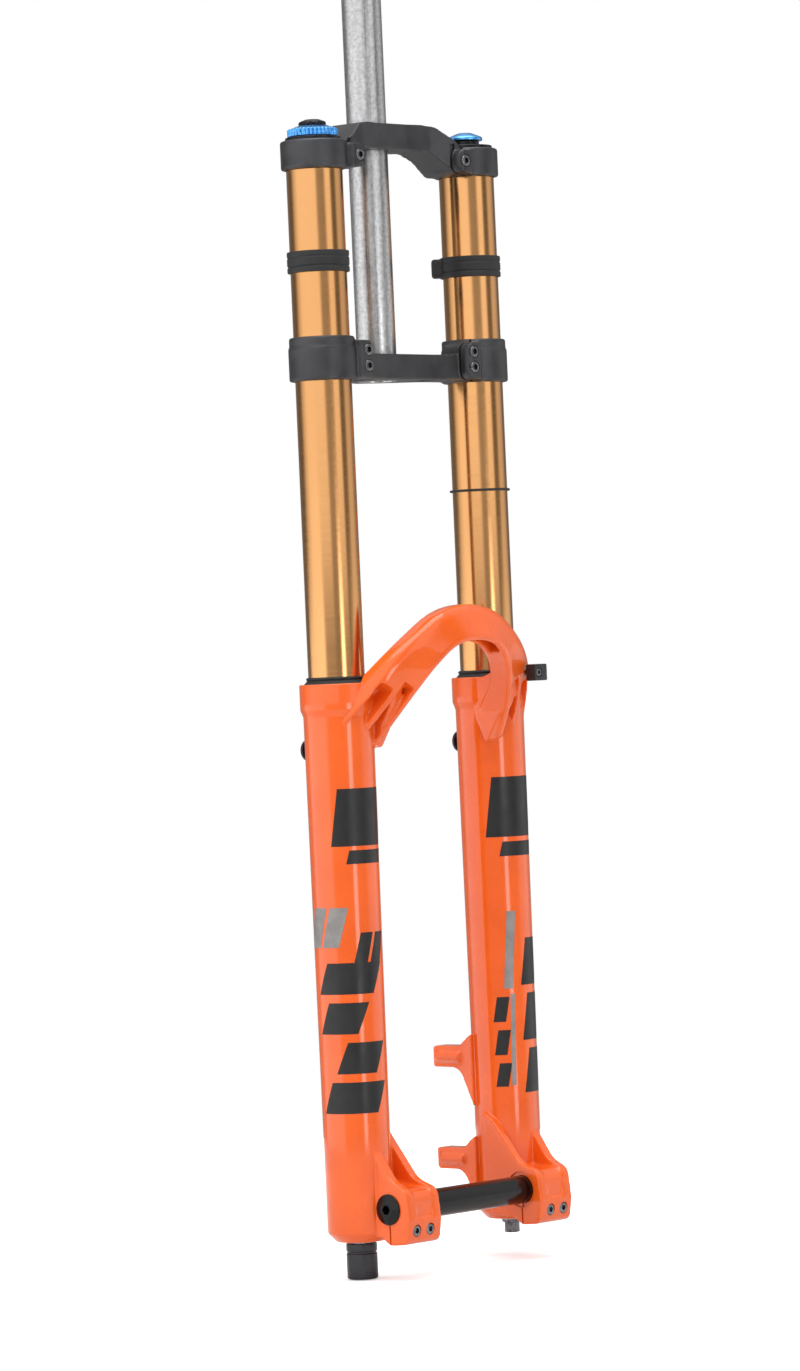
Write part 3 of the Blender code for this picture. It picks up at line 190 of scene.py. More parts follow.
def relief(tree, shader, height, depth, strength):
    bump = add(tree, "ShaderNodeBump", {"Height": height, "Distance": depth, "Strength": strength})
    tree.links.new(bump.outputs["Normal"], shader.inputs["Normal"])


def surface(name, colours, dye, rough, polish=None, bump=None, **values):
    """A material made of grains, each (size, stretch, detail): dye mixes the two colours and polish spreads
    the roughness. The bump is (grain, depth, strength). A grain left out is the one before it."""
    material, tree, shader, where = start(name, **values)
    dyed = grain(tree, where, *dye)
    polished = grain(tree, where, *polish) if polish else dyed
    tree.links.new(tint(tree, dyed, *colours), shader.inputs["Base Color"])
    tree.links.new(ramp(tree, polished, *rough), shader.inputs["Roughness"])
    if bump:
        pattern, depth, strength = bump
        relief(tree, shader, grain(tree, where, *pattern) if pattern else polished, depth, strength)
    return material


print("material helpers ready")

# %% [markdown]
# ## Light and floor
# A polished tube is a mirror that squeezes the whole room into upright bands, so the room matters more
# than any lamp. Here the world is the room, and its walls are bands of brightness by their angle from
# the camera's side. It has two storeys. The crowns and most of the tubes mirror the upper one: a broad
# bright wall to the left, a dim stretch, a bright panel and dark beyond. The legs mirror the lower one,
# where a narrow strip is much brighter. The storeys meet just below the horizon, which suits the
# camera's own height. The camera itself sees plain white, and the floor glows for it alone. One large
# soft box overhead gives the floor its faint shadow.

# %% Light and floor
HIGH = ((-180, 0.2), (-125, 0.12), (-112, 0.14), (-98, 0.6), (-78, 0.98), (0, 1.0), (9, 0.36), (36, 0.3),
        (45, 0.95), (62, 0.95), (70, 0.16), (86, 0.14), (98, 0.62), (116, 0.55), (140, 0.12), (180, 0.2))
LOW = ((-180, 0.2), (-128, 0.15), (-112, 1.15), (-44, 1.25), (-34, 0.3), (26, 0.25), (31, 3.6), (38, 3.6),
       (44, 0.25), (72, 0.25), (88, 0.85), (120, 0.85), (140, 0.2), (180, 0.2))
STOREYS_MEET, SKY_BEGINS = (-0.014, -0.008), (0.5, 0.85)  # heights on the world's sphere
ROOM_STRENGTH, SKY, WHITE = 1.55, (0.7, 0.7, 0.7, 1), (1, 1, 1, 1)
BOX_SIDE, BOX_WATTS, BOX_FROM_FORK = 2.2, 45, Vector((-0.3, -0.4, 2.3))
FLOOR_R, FLOOR_DROP = 1.1, 0.0006

bpy.context.scene.view_settings.view_transform = "Standard"
world = bpy.data.worlds.new("studio")
bpy.context.scene.world = world
world.use_nodes = True
tree = world.node_tree
tree.nodes.clear()
toward = add(tree, "ShaderNodeTexCoord").outputs["Generated"]


def along(axis):
    return add(tree, "ShaderNodeVectorMath", {0: toward, 1: axis}, operation="DOT_PRODUCT").outputs["Value"]


def walls(bands):
    """One storey of the room: how bright it is at each angle from the camera's side, to the right."""
    storey = add(tree, "ShaderNodeValToRGB", {"Fac": turned_by})
    while len(storey.color_ramp.elements) < len(bands):
        storey.color_ramp.elements.new(0.5)
    for stop, (degrees, level) in zip(storey.color_ramp.elements, bands):
        stop.position, stop.color = (degrees + 180) / 360, (level, level, level, 1)
    return storey.outputs[0]


angle = add(tree, "ShaderNodeMath", {0: along(right), 1: along(back)}, operation="ARCTAN2").outputs[0]
turned_by = ramp(tree, angle, 0, 1, -math.pi, math.pi)
height = add(tree, "ShaderNodeSeparateXYZ", {0: toward}).outputs["Z"]
upstairs = ramp(tree, height, 0, 1, *STOREYS_MEET)
overhead = ramp(tree, height, 0, 1, *SKY_BEGINS)
room = add(tree, "ShaderNodeMix", {0: upstairs, 6: walls(LOW), 7: walls(HIGH)}, data_type="RGBA").outputs[2]
sky = add(tree, "ShaderNodeMix", {0: overhead, 6: room, 7: SKY}, data_type="RGBA").outputs[2]
lit = add(tree, "ShaderNodeBackground", {"Color": sky, "Strength": ROOM_STRENGTH}).outputs[0]
seen = add(tree, "ShaderNodeBackground", {"Color": WHITE}).outputs[0]
path = add(tree, "ShaderNodeLightPath").outputs["Is Camera Ray"]
either = add(tree, "ShaderNodeMixShader", {0: path, 1: lit, 2: seen}).outputs[0]
add(tree, "ShaderNodeOutputWorld", {"Surface": either})

data = bpy.data.lights.new("top_box", "AREA")
data.shape, data.size, data.energy = "SQUARE", BOX_SIDE, BOX_WATTS
top_box = bpy.data.objects.new("top_box", data)
bpy.context.collection.objects.link(top_box)
top_box.location = LOOK_AT + BOX_FROM_FORK

bpy.ops.object.select_all(action="DESELECT")
bpy.ops.mesh.primitive_circle_add(vertices=64, radius=FLOOR_R, fill_type="NGON",
                                  location=(0, 0, span("rebound_cap")[0] - FLOOR_DROP))
floor = bpy.context.object
floor.name = "floor"
print("room bands:", len(HIGH), "over", len(LOW))

# %% [markdown]
# ## Finishes
# **Paint.** The legs are cast magnesium under a sprayed orange enamel with a clear coat on top. The coat
# gives sharp reflections, and a faint orange-peel ripple a couple of millimetres across stops them
# looking like plastic.
#
# **Anodised tubes.** The sliding tubes are polished aluminium under a hard gold-bronze oxide. Grinding
# left fine rings round them, which spread a highlight a little along the tube.

# %% Paint and gold
EVEN, TURNING, KNURLED = (1, 1, 1), (30, 30, 0.6), (30, 30, 0.5)  # how a grain is pulled out, per axis

PAINT = surface("orange_enamel", ("#E25A14", "#EB6019"), (0.018,), (0.26, 0.36), (0.006,),
                ((0.0022, EVEN, 1.0), 0.000006, 0.2), Coat_Weight=0.85, Coat_Roughness=0.06, IOR=1.5,
                Specular_IOR_Level=0.15)
GOLD = surface("hard_anodised_gold", ("#CB9560", "#D29C66"), (0.03, (1, 1, 3)), (0.14, 0.2),
               (0.0008, (40, 40, 0.5), 2.0), (None, 0.000001, 0.3), Metallic=1.0)
print("made", PAINT.name, "and", GOLD.name)

# %% [markdown]
# **Forged crowns.** Bead-blasted and black anodised aluminium: a dark satin metal with a fine even
# grain, a little lighter where hands and tools rub. **Turned black pieces** are smoother and show the
# rings of the lathe. **The steerer** is a bare drawn tube with scratches along its length.

# %% Black and bare metal
FORGED = surface("bead_blasted_black", ("#3C3C3E", "#48484A"), (0.012,), (0.38, 0.48), None,
                 ((0.0005, EVEN, 2.0), 0.00003, 0.5), Metallic=0.75)
TURNED = surface("turned_black_anodised", ("#1B1B1D", "#242427"), (0.0005, TURNING, 1.0), (0.2, 0.34), None,
                 (None, 0.00001, 0.5), Metallic=0.7)
GLOSS = surface("polished_black_axle", ("#0E0E10", "#161618"), (0.004,), (0.1, 0.22), Metallic=0.5)
GREY_CAP = surface("turned_grey_anodised", ("#3A3A3D", "#3E3E42"), (0.0005, TURNING, 1.0), (0.25, 0.29),
                   Metallic=0.85)
BARE = surface("drawn_aluminium", ("#A4A4A5", "#C0C0C1"), (0.0012, EVEN, 4.0), (0.26, 0.4),
               (0.0006, (1, 1, 40), 4.0), ((0.0009, (1, 1, 1.6)), 0.00006, 0.7), Metallic=1.0)
print("made", [m.name for m in (FORGED, TURNED, GLOSS, GREY_CAP, BARE)])

# %% [markdown]
# **Blue knobs** are turned aluminium, brightly dyed in the anodising bath. **Bolts** are steel with a
# dark oxide that has worn to bright metal on some rims. **Rubber** is matt and a little dusty.
# ** Moulded plastic** has the fine leathery grain of its steel mould. **Oil foam** is full of holes, and the shade inside them is painted into its colour.

# %% Blue, steel, rubber, plastic and foam


def make_steel(name, dark, light, rough):
    return surface(name, (dark, light), (0.0012, EVEN, 4.0), (rough - 0.06, rough + 0.1), None,
                   (None, 0.00001, 0.4), Metallic=1.0)


def make_plastic():
    material, tree, shader, where = start("grained_nylon")
    leather = add(tree, "ShaderNodeTexVoronoi", {"Vector": where, "Scale": 1400.0}).outputs["Distance"]
    tree.links.new(tint(tree, grain(tree, where, 0.004), "#161617", "#202021"), shader.inputs["Base Color"])
    tree.links.new(ramp(tree, leather, 0.38, 0.52, 0.1, 0.7), shader.inputs["Roughness"])
    relief(tree, shader, leather, 0.00004, 0.5)
    return material


def make_foam():
    material, tree, shader, where = start("oil_foam_cells", Roughness=0.95)
    cells = add(tree, "ShaderNodeTexVoronoi", {"Vector": where, "Scale": 900.0}).outputs["Distance"]
    # Painted shade: the pits of the cells are coloured dark tan and the walls between them light tan.
    tree.links.new(tint(tree, cells, "#6E624B", "#B2A27F", 0.1, 0.6), shader.inputs["Base Color"])
    relief(tree, shader, cells, 0.0002, 0.8)
    return material


def make_floor():
    material, tree, shader, where = start("white_sweep", Roughness=0.9, Specular_IOR_Level=0.1,
                                          Emission_Color=WHITE)
    seen_directly = add(tree, "ShaderNodeLightPath").outputs["Is Camera Ray"]
    tree.links.new(ramp(tree, seen_directly, 0.0, 0.45), shader.inputs["Emission Strength"])
    tree.links.new(tint(tree, grain(tree, where, 0.4), "#E6E6E6", "#ECECEC"), shader.inputs["Base Color"])
    return material


BLUE = surface("blue_anodised", ("#4A97E4", "#69B4F6"), (0.0005, KNURLED, 1.0), (0.18, 0.3), None,
               (None, 0.000012, 0.6), Metallic=1.0)
RUBBER = surface("moulded_rubber", ("#19191A", "#262627"), (0.005,), (0.5, 0.72), None,
                 ((0.0005,), 0.00003, 0.5), Specular_IOR_Level=0.4)
PLASTIC, FOAM = make_plastic(), make_foam()
STEEL = make_steel("black_oxide_steel", "#5A5A5E", "#7C7C80", 0.24)
BRIGHT = make_steel("worn_bright_steel", "#626266", "#8E8E92", 0.22)
floor.data.materials.append(make_floor())
print("made", [m.name for m in (BLUE, RUBBER, PLASTIC, FOAM, STEEL, BRIGHT)])

# %% [markdown]
# ## Helpers for shapes
# Blender's operators act on whatever is selected, so each helper first deselects everything. An outline
# is a list of corners, each with the radius that rounds it: real edges are never perfectly sharp, and
# the small round is what catches the light.

# %% Shape helpers


def nothing_selected():
    if bpy.context.object and bpy.context.object.mode != "OBJECT":
        bpy.ops.object.mode_set(mode="OBJECT")
    bpy.ops.object.select_all(action="DESELECT")


def alone(thing):
    nothing_selected()
    bpy.context.view_layer.objects.active = thing
    thing.select_set(True)


def rounded(corners, steps=4):
    outline, count = [], len(corners)
    for i, (x, y, radius) in enumerate(corners):
        here = Vector((x, y))
        if radius == 0:
            outline.append(here)
            continue
        to_last = (Vector(corners[i - 1][:2]) - here).normalized()
        to_next = (Vector(corners[(i + 1) % count][:2]) - here).normalized()
        half = to_last.angle(to_next) / 2
        reach = radius / math.tan(half)
        centre = here + (to_last + to_next).normalized() * (radius / math.sin(half))
        first, last = here + to_last * reach - centre, here + to_next * reach - centre
        outline += [centre + first.lerp(last, k / steps).normalized() * radius for k in range(steps + 1)]
    return outline


def clean(thing):
    """Merge what meets, drop stray edges and point every face outwards."""
    alone(thing)
    bpy.ops.object.mode_set(mode="EDIT")
    bpy.ops.mesh.select_all(action="SELECT")
    bpy.ops.mesh.remove_doubles(threshold=0.000001)
    bpy.ops.mesh.delete_loose(use_verts=True, use_edges=True, use_faces=False)
    bpy.ops.mesh.select_all(action="SELECT")
    bpy.ops.mesh.normals_make_consistent(inside=False)
    bpy.ops.object.mode_set(mode="OBJECT")
    return thing


def settle_into(thing, matrix):
    """Put the piece in its place and keep the place in its mesh."""
    thing.matrix_world = matrix
    alone(thing)
    bpy.ops.object.transform_apply(location=True, rotation=True, scale=True)
    return thing


FACING = {"+Z": (0, 0, 0), "-Z": (math.pi, 0, 0), "+Y": (-math.pi / 2, 0, 0), "-Y": (math.pi / 2, 0, 0),
          "+X": (0, math.pi / 2, 0), "-X": (0, -math.pi / 2, 0)}


def facing(place, axis):
    turn = Matrix.Rotation(FACING[axis][0], 4, "X") @ Matrix.Rotation(FACING[axis][1], 4, "Y")
    return Matrix.Translation(Vector(place)) @ turn


def turned(name, corners, place=(0, 0, 0), axis="+Z", around=96, steps=4):
    """Spin a rounded outline of (radius, height, fillet) round an axis, as on a lathe."""
    outline = rounded(corners, steps)
    nothing_selected()
    bpy.ops.mesh.primitive_circle_add(vertices=len(outline), radius=1)
    thing = bpy.context.object
    thing.name = name
    for vertex, point in zip(thing.data.vertices, outline):
        vertex.co = (max(point.x, 0), 0, point.y)
    bpy.ops.object.mode_set(mode="EDIT")
    bpy.ops.mesh.select_all(action="SELECT")
    bpy.ops.mesh.spin(steps=around, angle=2 * math.pi, center=(0, 0, 0), axis=(0, 0, 1))
    bpy.ops.object.mode_set(mode="OBJECT")
    return settle_into(clean(thing), facing(place, axis))


def plate(name, corners, low, high, plane, side=1, steps=6):
    """Fill a rounded outline and extrude it from low to high: XY along Z, XZ along Y, YZ along X."""
    outline = rounded(corners, steps)
    at = {"XY": lambda p: (p.x * side, p.y, low), "XZ": lambda p: (p.x * side, low, p.y),
          "YZ": lambda p: (low, p.x, p.y)}[plane]
    along = {"XY": (0, 0, high - low), "XZ": (0, high - low, 0), "YZ": (high - low, 0, 0)}[plane]
    nothing_selected()
    bpy.ops.mesh.primitive_circle_add(vertices=len(outline), radius=1, fill_type="NGON")
    thing = bpy.context.object
    thing.name = name
    for vertex, point in zip(thing.data.vertices, outline):
        vertex.co = at(point)
    bpy.ops.object.mode_set(mode="EDIT")
    bpy.ops.mesh.select_all(action="SELECT")
    bpy.ops.mesh.extrude_region_move(TRANSFORM_OT_translate={"value": along})
    bpy.ops.object.mode_set(mode="OBJECT")
    return clean(thing)


def block(name, low, high, bevel=0.0):
    low, high = Vector(low), Vector(high)
    nothing_selected()
    bpy.ops.mesh.primitive_cube_add(size=1, location=(low + high) / 2, scale=high - low)
    thing = bpy.context.object
    thing.name = name
    settle_into(thing, thing.matrix_world.copy())
    if bevel:
        bpy.ops.object.mode_set(mode="EDIT")
        bpy.ops.mesh.select_all(action="SELECT")
        bpy.ops.mesh.bevel(offset=bevel, segments=3, affect="EDGES")
        bpy.ops.object.mode_set(mode="OBJECT")
    return thing


def lofted(name, rings, closed=False):
    """Skin a row of rings that have the same number of points; the ends are filled or joined."""
    rings = rings + [rings[0]] if closed else rings
    rows, columns = len(rings) - 1, len(rings[0])
    nothing_selected()
    bpy.ops.mesh.primitive_grid_add(x_subdivisions=columns, y_subdivisions=rows, size=1)
    thing = bpy.context.object
    thing.name = name
    for vertex in thing.data.vertices:
        column, row = round((vertex.co.x + 0.5) * columns), round((vertex.co.y + 0.5) * rows)
        vertex.co = rings[row][column % columns]
    bpy.ops.object.mode_set(mode="EDIT")
    bpy.ops.mesh.select_all(action="SELECT")
    bpy.ops.mesh.remove_doubles(threshold=0.0000001)
    bpy.ops.mesh.select_all(action="SELECT")
    bpy.ops.mesh.fill_holes(sides=0)
    bpy.ops.object.mode_set(mode="OBJECT")
    return clean(thing)


def machine(body, tools, operation="DIFFERENCE", solver="MANIFOLD"):
    """Cut tools out of a body or join them to it, one Boolean modifier at a time."""
    for tool in tools:
        step = body.modifiers.new("step", "BOOLEAN")
        step.operation, step.solver, step.object = operation, solver, tool
        alone(body)
        bpy.ops.object.modifier_apply(modifier=step.name)
        bpy.data.objects.remove(tool, do_unlink=True)
    return body


def cast(name, lumps, cell, passes):
    """Melt lumps into one body: a voxel skin over all of them, smoothed until their joints are fillets."""
    alone(lumps[0])
    for lump in lumps[1:]:
        lump.select_set(True)
    bpy.ops.object.join()
    body = bpy.context.object
    body.name = name
    skin = body.modifiers.new("skin", "REMESH")
    skin.mode, skin.voxel_size = "VOXEL", cell
    soft = body.modifiers.new("soft", "SMOOTH")
    soft.factor, soft.iterations = 0.5, passes
    bpy.ops.object.modifier_apply(modifier="skin")
    bpy.ops.object.modifier_apply(modifier="soft")
    return body


def rod(name, radius, top, base, place, axis="+Z", around=32, fillets=(0, 0)):
    """A solid rod between two heights, with a fillet at its top and one at its base."""
    corners = [(0, top, 0), (radius, top, fillets[0]), (radius, base, fillets[1]), (0, base, 0)]
    return turned(name, corners, place, axis, around)


def chamfered_bore(name, radius, rim, base, top, place, around):
    """A cutter right through a piece, which chamfers both mouths of the bore by the rim's size."""
    past, flare = 0.0035, radius + rim + 0.0035
    corners = [(0, top + 0.004, 0), (flare, top + past, 0), (radius, top - rim, 0),
               (radius, base + rim, 0), (flare, base - past, 0), (0, base - 0.004, 0)]
    return turned(name, corners, place, around=around)


def tapped_hole(name, radius, depth, place, axis="+Z"):
    """A cutter for a blind hole with a countersunk mouth."""
    corners = [(0, 0.002, 0), (radius + 0.002, 0.002, 0), (radius, -0.0004, 0), (radius, -depth, 0),
               (0, -depth, 0)]
    return turned(name, corners, place, axis, around=32)


def hex_socket(body, radius, depth, place=(0, 0, 0), axis="+Z"):
    """Cut a hexagonal socket with a six-sided prism whose middle is at the place."""
    nothing_selected()
    bpy.ops.mesh.primitive_cylinder_add(vertices=6, radius=radius, depth=depth)
    return machine(body, [settle_into(bpy.context.object, facing(place, axis))])


def flipped(half):
    """The other half of a symmetrical outline."""
    return [(-x, y, r) for x, y, r in reversed(half)]


def dress(thing, body, material, slot, *nodes, sharp=32):
    """Shade a finished piece, paint it, put it on its body and let it stand for its nodes."""
    alone(thing)
    bpy.ops.object.shade_smooth_by_angle(angle=math.radians(sharp))
    thing.data.materials.clear()
    thing.data.materials.append(material)
    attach(thing, body)
    if nodes:
        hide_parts(*nodes)
    return thing


FORGING, CAST, MOULDED = (0.0008, 5), (0.0009, 6), (0.0004, 3)  # voxel size and smoothing passes
print("shape helpers ready")

# %% [markdown]
# ## Sliding tubes and steerer
# These are plain tubes on the real fork, so a lathe profile is all they need: an outline of the wall,
# with a small chamfer on each end, spun round the axis in many steps so that the reflections run
# straight.

# %% Tubes
STANCHION_HOLLOW, STEERER_HOLLOW = STANCHION_R - 0.0022, STEERER_R - 0.0024
for side, tag in SIDES:
    wall = [(STANCHION_R, STANCHION_TOP, 0.0004), (STANCHION_R, STANCHION_BASE, 0.0008),
            (STANCHION_HOLLOW, STANCHION_BASE, 0.0004), (STANCHION_HOLLOW, STANCHION_TOP, 0.0004)]
    tube = turned(f"stanchion_{tag}_tube", wall, leg_at(side), around=160)
    dress(tube, "upper", GOLD, "gold_anodised", f"stanchion_{tag}")

wall = [(STEERER_R, STEERER_TOP, 0.0005), (STEERER_R, STEERER_BASE, 0.0006),
        (STEERER_HOLLOW, STEERER_BASE, 0.0005), (STEERER_HOLLOW, STEERER_TOP, 0.0005)]
dress(turned("steerer_drawn_tube", wall, around=128), "upper", BARE, "raw_aluminium", "steerer_tube")
print("tubes: 3")

# %% [markdown]
# ## Crowns
# A crown is forged first and machined after, and it is made the same way here. Rough solids are melted
# together under a voxel skin, which leaves soft forged edges. Then the bores, the clamp slits and the
# bolt holes are cut, and those stay crisp.

# %% Crown helpers
CROWN_BOLT = (0.0042, 0.0045, 0.0028, 0.019)  # a bolt: head radius and height, shank radius and length
PINCH_BOLT = (0.004, 0.004, 0.0025, 0.019)
GUIDE_SCREW = (0.003, 0.0022, 0.0018, 0.0145)


def bolt_seat(side, height):
    return Vector((side * (LEG_X - EAR_IN), LEG_Y - EAR_FRONT + 0.0042, height))


def stepped_hole(name, place, axis, bolt):
    """A cutter for a bolt's hole: wide for its head, narrow for its shank, with a gap all round."""
    head, _, shank, length = bolt
    corners = [(0, 0.02, 0), (head + 0.0004, 0.02, 0), (head + 0.0003, 0.004, 0),
               (head + GAP, 0.0036, 0), (head + GAP, -GAP, 0), (shank + GAP, -GAP, 0),
               (shank + GAP, -length - GAP, 0), (0, -length - GAP, 0)]
    return turned(name, corners, place, axis, around=32)


def ear(name, side, base, top):
    """The lug in front of a clamp that its bolts pull together."""
    inner, outer = LEG_X - EAR_IN - 0.0062, LEG_X - EAR_IN + 0.009
    corners = [(inner, LEG_Y - EAR_FRONT, 0.0055), (outer, LEG_Y - EAR_FRONT, 0.004),
               (outer, LEG_Y + 0.004, 0), (inner, LEG_Y + 0.004, 0)]
    lug = [(inner, base, 0.0062), (inner, top, 0.0062), (outer + 0.001, top, 0), (outer + 0.001, base, 0)]
    round_edges = plate("lug", lug, LEG_Y - EAR_FRONT - 0.002, LEG_Y + 0.006, "XZ", side)
    return machine(plate(name, corners, base, top, "XY", side), [round_edges], "INTERSECT", "EXACT")


def clamp_tools(side, base, top, bolts):
    """The cutters for one clamp: its bore, its slit and its bolt holes."""
    bore = chamfered_bore("bore", STANCHION_R + GAP, 0.0007, base, top, leg_at(side), 128)
    across = sorted((side * (LEG_X - EAR_IN - 0.01), side * (LEG_X - STANCHION_R + 0.004)))
    middle = LEG_Y - EAR_FRONT + 0.009
    slit = block("slit", (across[0], middle - SLIT / 2, base - 0.002),
                 (across[1], middle + SLIT / 2, top + 0.002))
    return [bore, slit] + [stepped_hole("hole", bolt_seat(side, height), "-Y", CROWN_BOLT)
                           for height in bolts]


def steerer_tool(base, top):
    return chamfered_bore("steerer_bore", STEERER_R + GAP, 0.0006, base, top, (0, 0, 0), 96)


print("crown helpers ready")

# %% Lower crown
boss, bridge = 0.0225, 0.018  # radius round the steerer, and the bridge's depth
half = [(boss * 0.7, boss * 0.72, 0.006), (0.042, -0.0005, 0.01), (LEG_X - 0.012, LEG_Y + 0.0205, 0),
        (LEG_X - 0.012, LEG_Y - 0.01, 0), (LEG_X - EAR_IN - 0.006, LEG_Y - 0.0125, 0),
        (0.024, -0.0305, 0.02)]
outline = [(0, boss, 0)] + half + flipped(half)
beam = plate("lower_crown_forging", outline, -bridge, 0, "XY")
lumps, tools = [beam], []
for side, tag in SIDES:
    shape = [(0.042, -0.006, 0.003), (0.042, -0.026, 0.003), (0.026, -0.024, 0.003), (0.026, 0.001, 0.003)]
    machine(beam, [plate("pocket", shape, -bridge - 0.002, -bridge + 0.009, "XY", side)], solver="EXACT")
    waist = CLAMP_R - 0.0008
    clamp = [(0, LOWER_TOP, 0), (waist, LOWER_TOP, 0.0012), (waist, LOWER_TOP - 0.007, 0),
             (CLAMP_R, LOWER_TOP - 0.0078, 0), (CLAMP_R, LOWER_BASE, 0.0014), (0, LOWER_BASE, 0)]
    lumps.append(turned(f"clamp_{tag}", clamp, leg_at(side), around=128))
    lumps.append(ear(f"ear_{tag}", side, LOWER_BASE + 0.0014, LOWER_TOP - 0.003))
    tools += clamp_tools(side, LOWER_BASE, LOWER_TOP, LOWER_BOLTS_Z)
tools.append(steerer_tool(-bridge, 0))
crown = machine(cast("lower_crown_forged", lumps, *FORGING), tools)
dress(crown, "upper", FORGED, "crown_black", "lower_crown")
print("lower crown:", len(crown.data.polygons), "faces")

# %% Upper crown
under, boss_top = UPPER_BASE + 0.0179, UPPER_TOP
clamp_top = UPPER_BASE + 0.0207
inner = LEG_X - 0.023
arm = [(LEG_X, clamp_top - 0.0006, 0), (inner + 0.004, clamp_top - 0.0006, 0.004),
       (0.04, boss_top - 0.0015, 0.006), (0.028, boss_top, 0)]
belly = [(0.034, under, 0.006), (inner - 0.002, UPPER_BASE + 0.0006, 0.006), (LEG_X, UPPER_BASE + 0.0006, 0)]
outline = arm + flipped(arm) + flipped(belly) + belly
beam = plate("upper_crown_forging", outline, -0.06, 0.03, "XZ")
half = [(boss * 0.8, boss * 0.66, 0.006), (0.042, -0.004, 0.01), (LEG_X - 0.01, LEG_Y + 0.018, 0),
        (LEG_X - 0.01, LEG_Y - 0.013, 0), (0.054, LEG_Y - 0.0145, 0.004), (0.036, -0.029, 0.008),
        (0.016, -0.0245, 0.006)]
plan = [(0, boss, 0)] + half + flipped(half)
machine(beam, [plate("plan", plan, 0.1, 0.2, "XY")], "INTERSECT", "EXACT")
rear_ears = (-0.0135, 0.01, under + 0.0012), (0.0135, 0.032, boss_top - 0.0016)
lumps = [beam, block("rear_ears", *rear_ears, 0.0015)]
tools = []
for side, tag in SIDES:
    lumps.append(rod(f"clamp_{tag}", CLAMP_R - 0.0005, clamp_top, UPPER_BASE, leg_at(side), around=128,
                     fillets=(0.0016, 0.0012)))
    lumps.append(ear(f"ear_{tag}", side, UPPER_BASE + 0.0012, clamp_top - 0.0025))
    tools += clamp_tools(side, UPPER_BASE, clamp_top, (UPPER_BOLT_Z,))
    tools += [tapped_hole("stem_hole", 0.0025, 0.01, (side * 0.0255, back_at, boss_top))
              for back_at in (0.004, -0.0185)]
tools.append(steerer_tool(under, boss_top))
tools.append(block("rear_slit", (-SLIT / 2, 0.004, under - 0.002), (SLIT / 2, 0.04, boss_top + 0.002)))
steerer_seat = Vector((-0.0085, 0.0255, (under + boss_top) / 2))
tools.append(stepped_hole("rear_hole", steerer_seat, "-X", CROWN_BOLT))
crown = machine(cast("upper_crown_forged", lumps, *FORGING), tools)
dress(crown, "upper", FORGED, "crown_black", "upper_crown")
print("upper crown:", len(crown.data.polygons), "faces")

# %% [markdown]
# ## Bolts
# One socket-head bolt of each size is turned, its hexagonal socket is cut with a six-sided prism, and
# copies go to every hole.

# %% Bolts


def socket_bolt(head_r, head_h, shank_r, shank_l):
    corners = [(0, head_h, 0), (head_r, head_h, 0.0009), (head_r, 0, 0.0002), (shank_r, 0, 0),
               (shank_r, -shank_l, 0.0004), (0, -shank_l, 0)]
    return hex_socket(turned("bolt", corners, around=48), head_r * 0.54, head_h, (0, 0, head_h * 0.85))


def place_bolts(bolt, body, material, spots):
    model = socket_bolt(*bolt)
    for name, place, axis in spots:
        twin = model.copy()
        twin.data, twin.name = model.data.copy(), f"{name}_turned" if "bolt" in name else f"{name}_bolt"
        twin.data.transform(facing(place, axis))
        bpy.context.collection.objects.link(twin)
        dress(twin, body, material, "dark_steel", name)
    bpy.data.objects.remove(model, do_unlink=True)
    print("bolts placed:", len(spots))


def pinch_seat(side, k):
    """The seat of one pinch bolt: k is -1 for the bolt on the -X side and 1 for the other."""
    across = side * (DROPOUT_IN + 0.0185) + k * 0.007
    return Vector((across, AXLE_Y - AXLE_R - 0.004, AXLE_Z - AXLE_R - 0.005))


spots = [(f"lower_crown_bolt_{2 * n + k + 1}", bolt_seat(side, height), "-Y")
         for n, (side, _) in enumerate(SIDES) for k, height in enumerate(LOWER_BOLTS_Z)]
spots += [(f"upper_crown_bolt_{tag}", bolt_seat(side, UPPER_BOLT_Z), "-Y") for side, tag in SIDES]
place_bolts(CROWN_BOLT, "upper", STEEL, spots + [("steerer_clamp_bolt", steerer_seat, "-X")])
spots = [(f"axle_pinch_bolt_{2 * n + i + 1}", pinch_seat(side, k), "-Y")
         for n, (side, _) in enumerate(SIDES) for i, k in enumerate((-1, 1))]
place_bolts(PINCH_BOLT, "lowers", BRIGHT, spots)

# %% [markdown]
# ## Legs
# Each leg is a tapering tube with a thicker collar at its mouth. It is turned as one profile, walls and
# seal seat included, so the long reflections on the paint stay unbroken. The arch and the dropouts are
# cast bodies that flow out of it.

# %% Leg tubes


def leg_radius(z):
    t = min(max((TAPER_TOP - z) / (TAPER_TOP - TAPER_FOOT), 0), 1)
    return LEG_TOP_R + (LEG_FOOT_R - LEG_TOP_R) * t


def bleed_hole(side):
    return rod("bleed_hole", BLEED_R, 0.04, 0.012, leg_at(side, BLEED_Z), "+Y")


for side, tag in SIDES:
    seat = RIM_Z - SEAL_DEPTH
    hole = 0.0045 + GAP
    shape = [(COLLAR_R, RIM_Z, 0.001), (COLLAR_R, COLLAR_BASE, 0.004), (LEG_TOP_R, TAPER_TOP, 0.006),
             (LEG_FOOT_R, TAPER_FOOT, 0), (LEG_FOOT_R, LEG_BASE + 0.0062, 0.004),
             (LEG_FOOT_R - 0.006, LEG_BASE, 0.0015), (hole, LEG_BASE, 0.0004), (hole, FLOOR_Z, 0),
             (BORE_R, FLOOR_Z, 0.001), (BORE_R, seat, 0), (SEAL_R, seat, 0), (SEAL_R, RIM_Z, 0.0004)]
    leg = machine(turned(f"leg_{tag}_cast", shape, leg_at(side), around=160), [bleed_hole(side)])
    dress(leg, "lowers", PAINT, "orange_paint", "lower_casting")
print("leg radius at the middle:", round(leg_radius(-0.42) * 1000, 2), "mm")

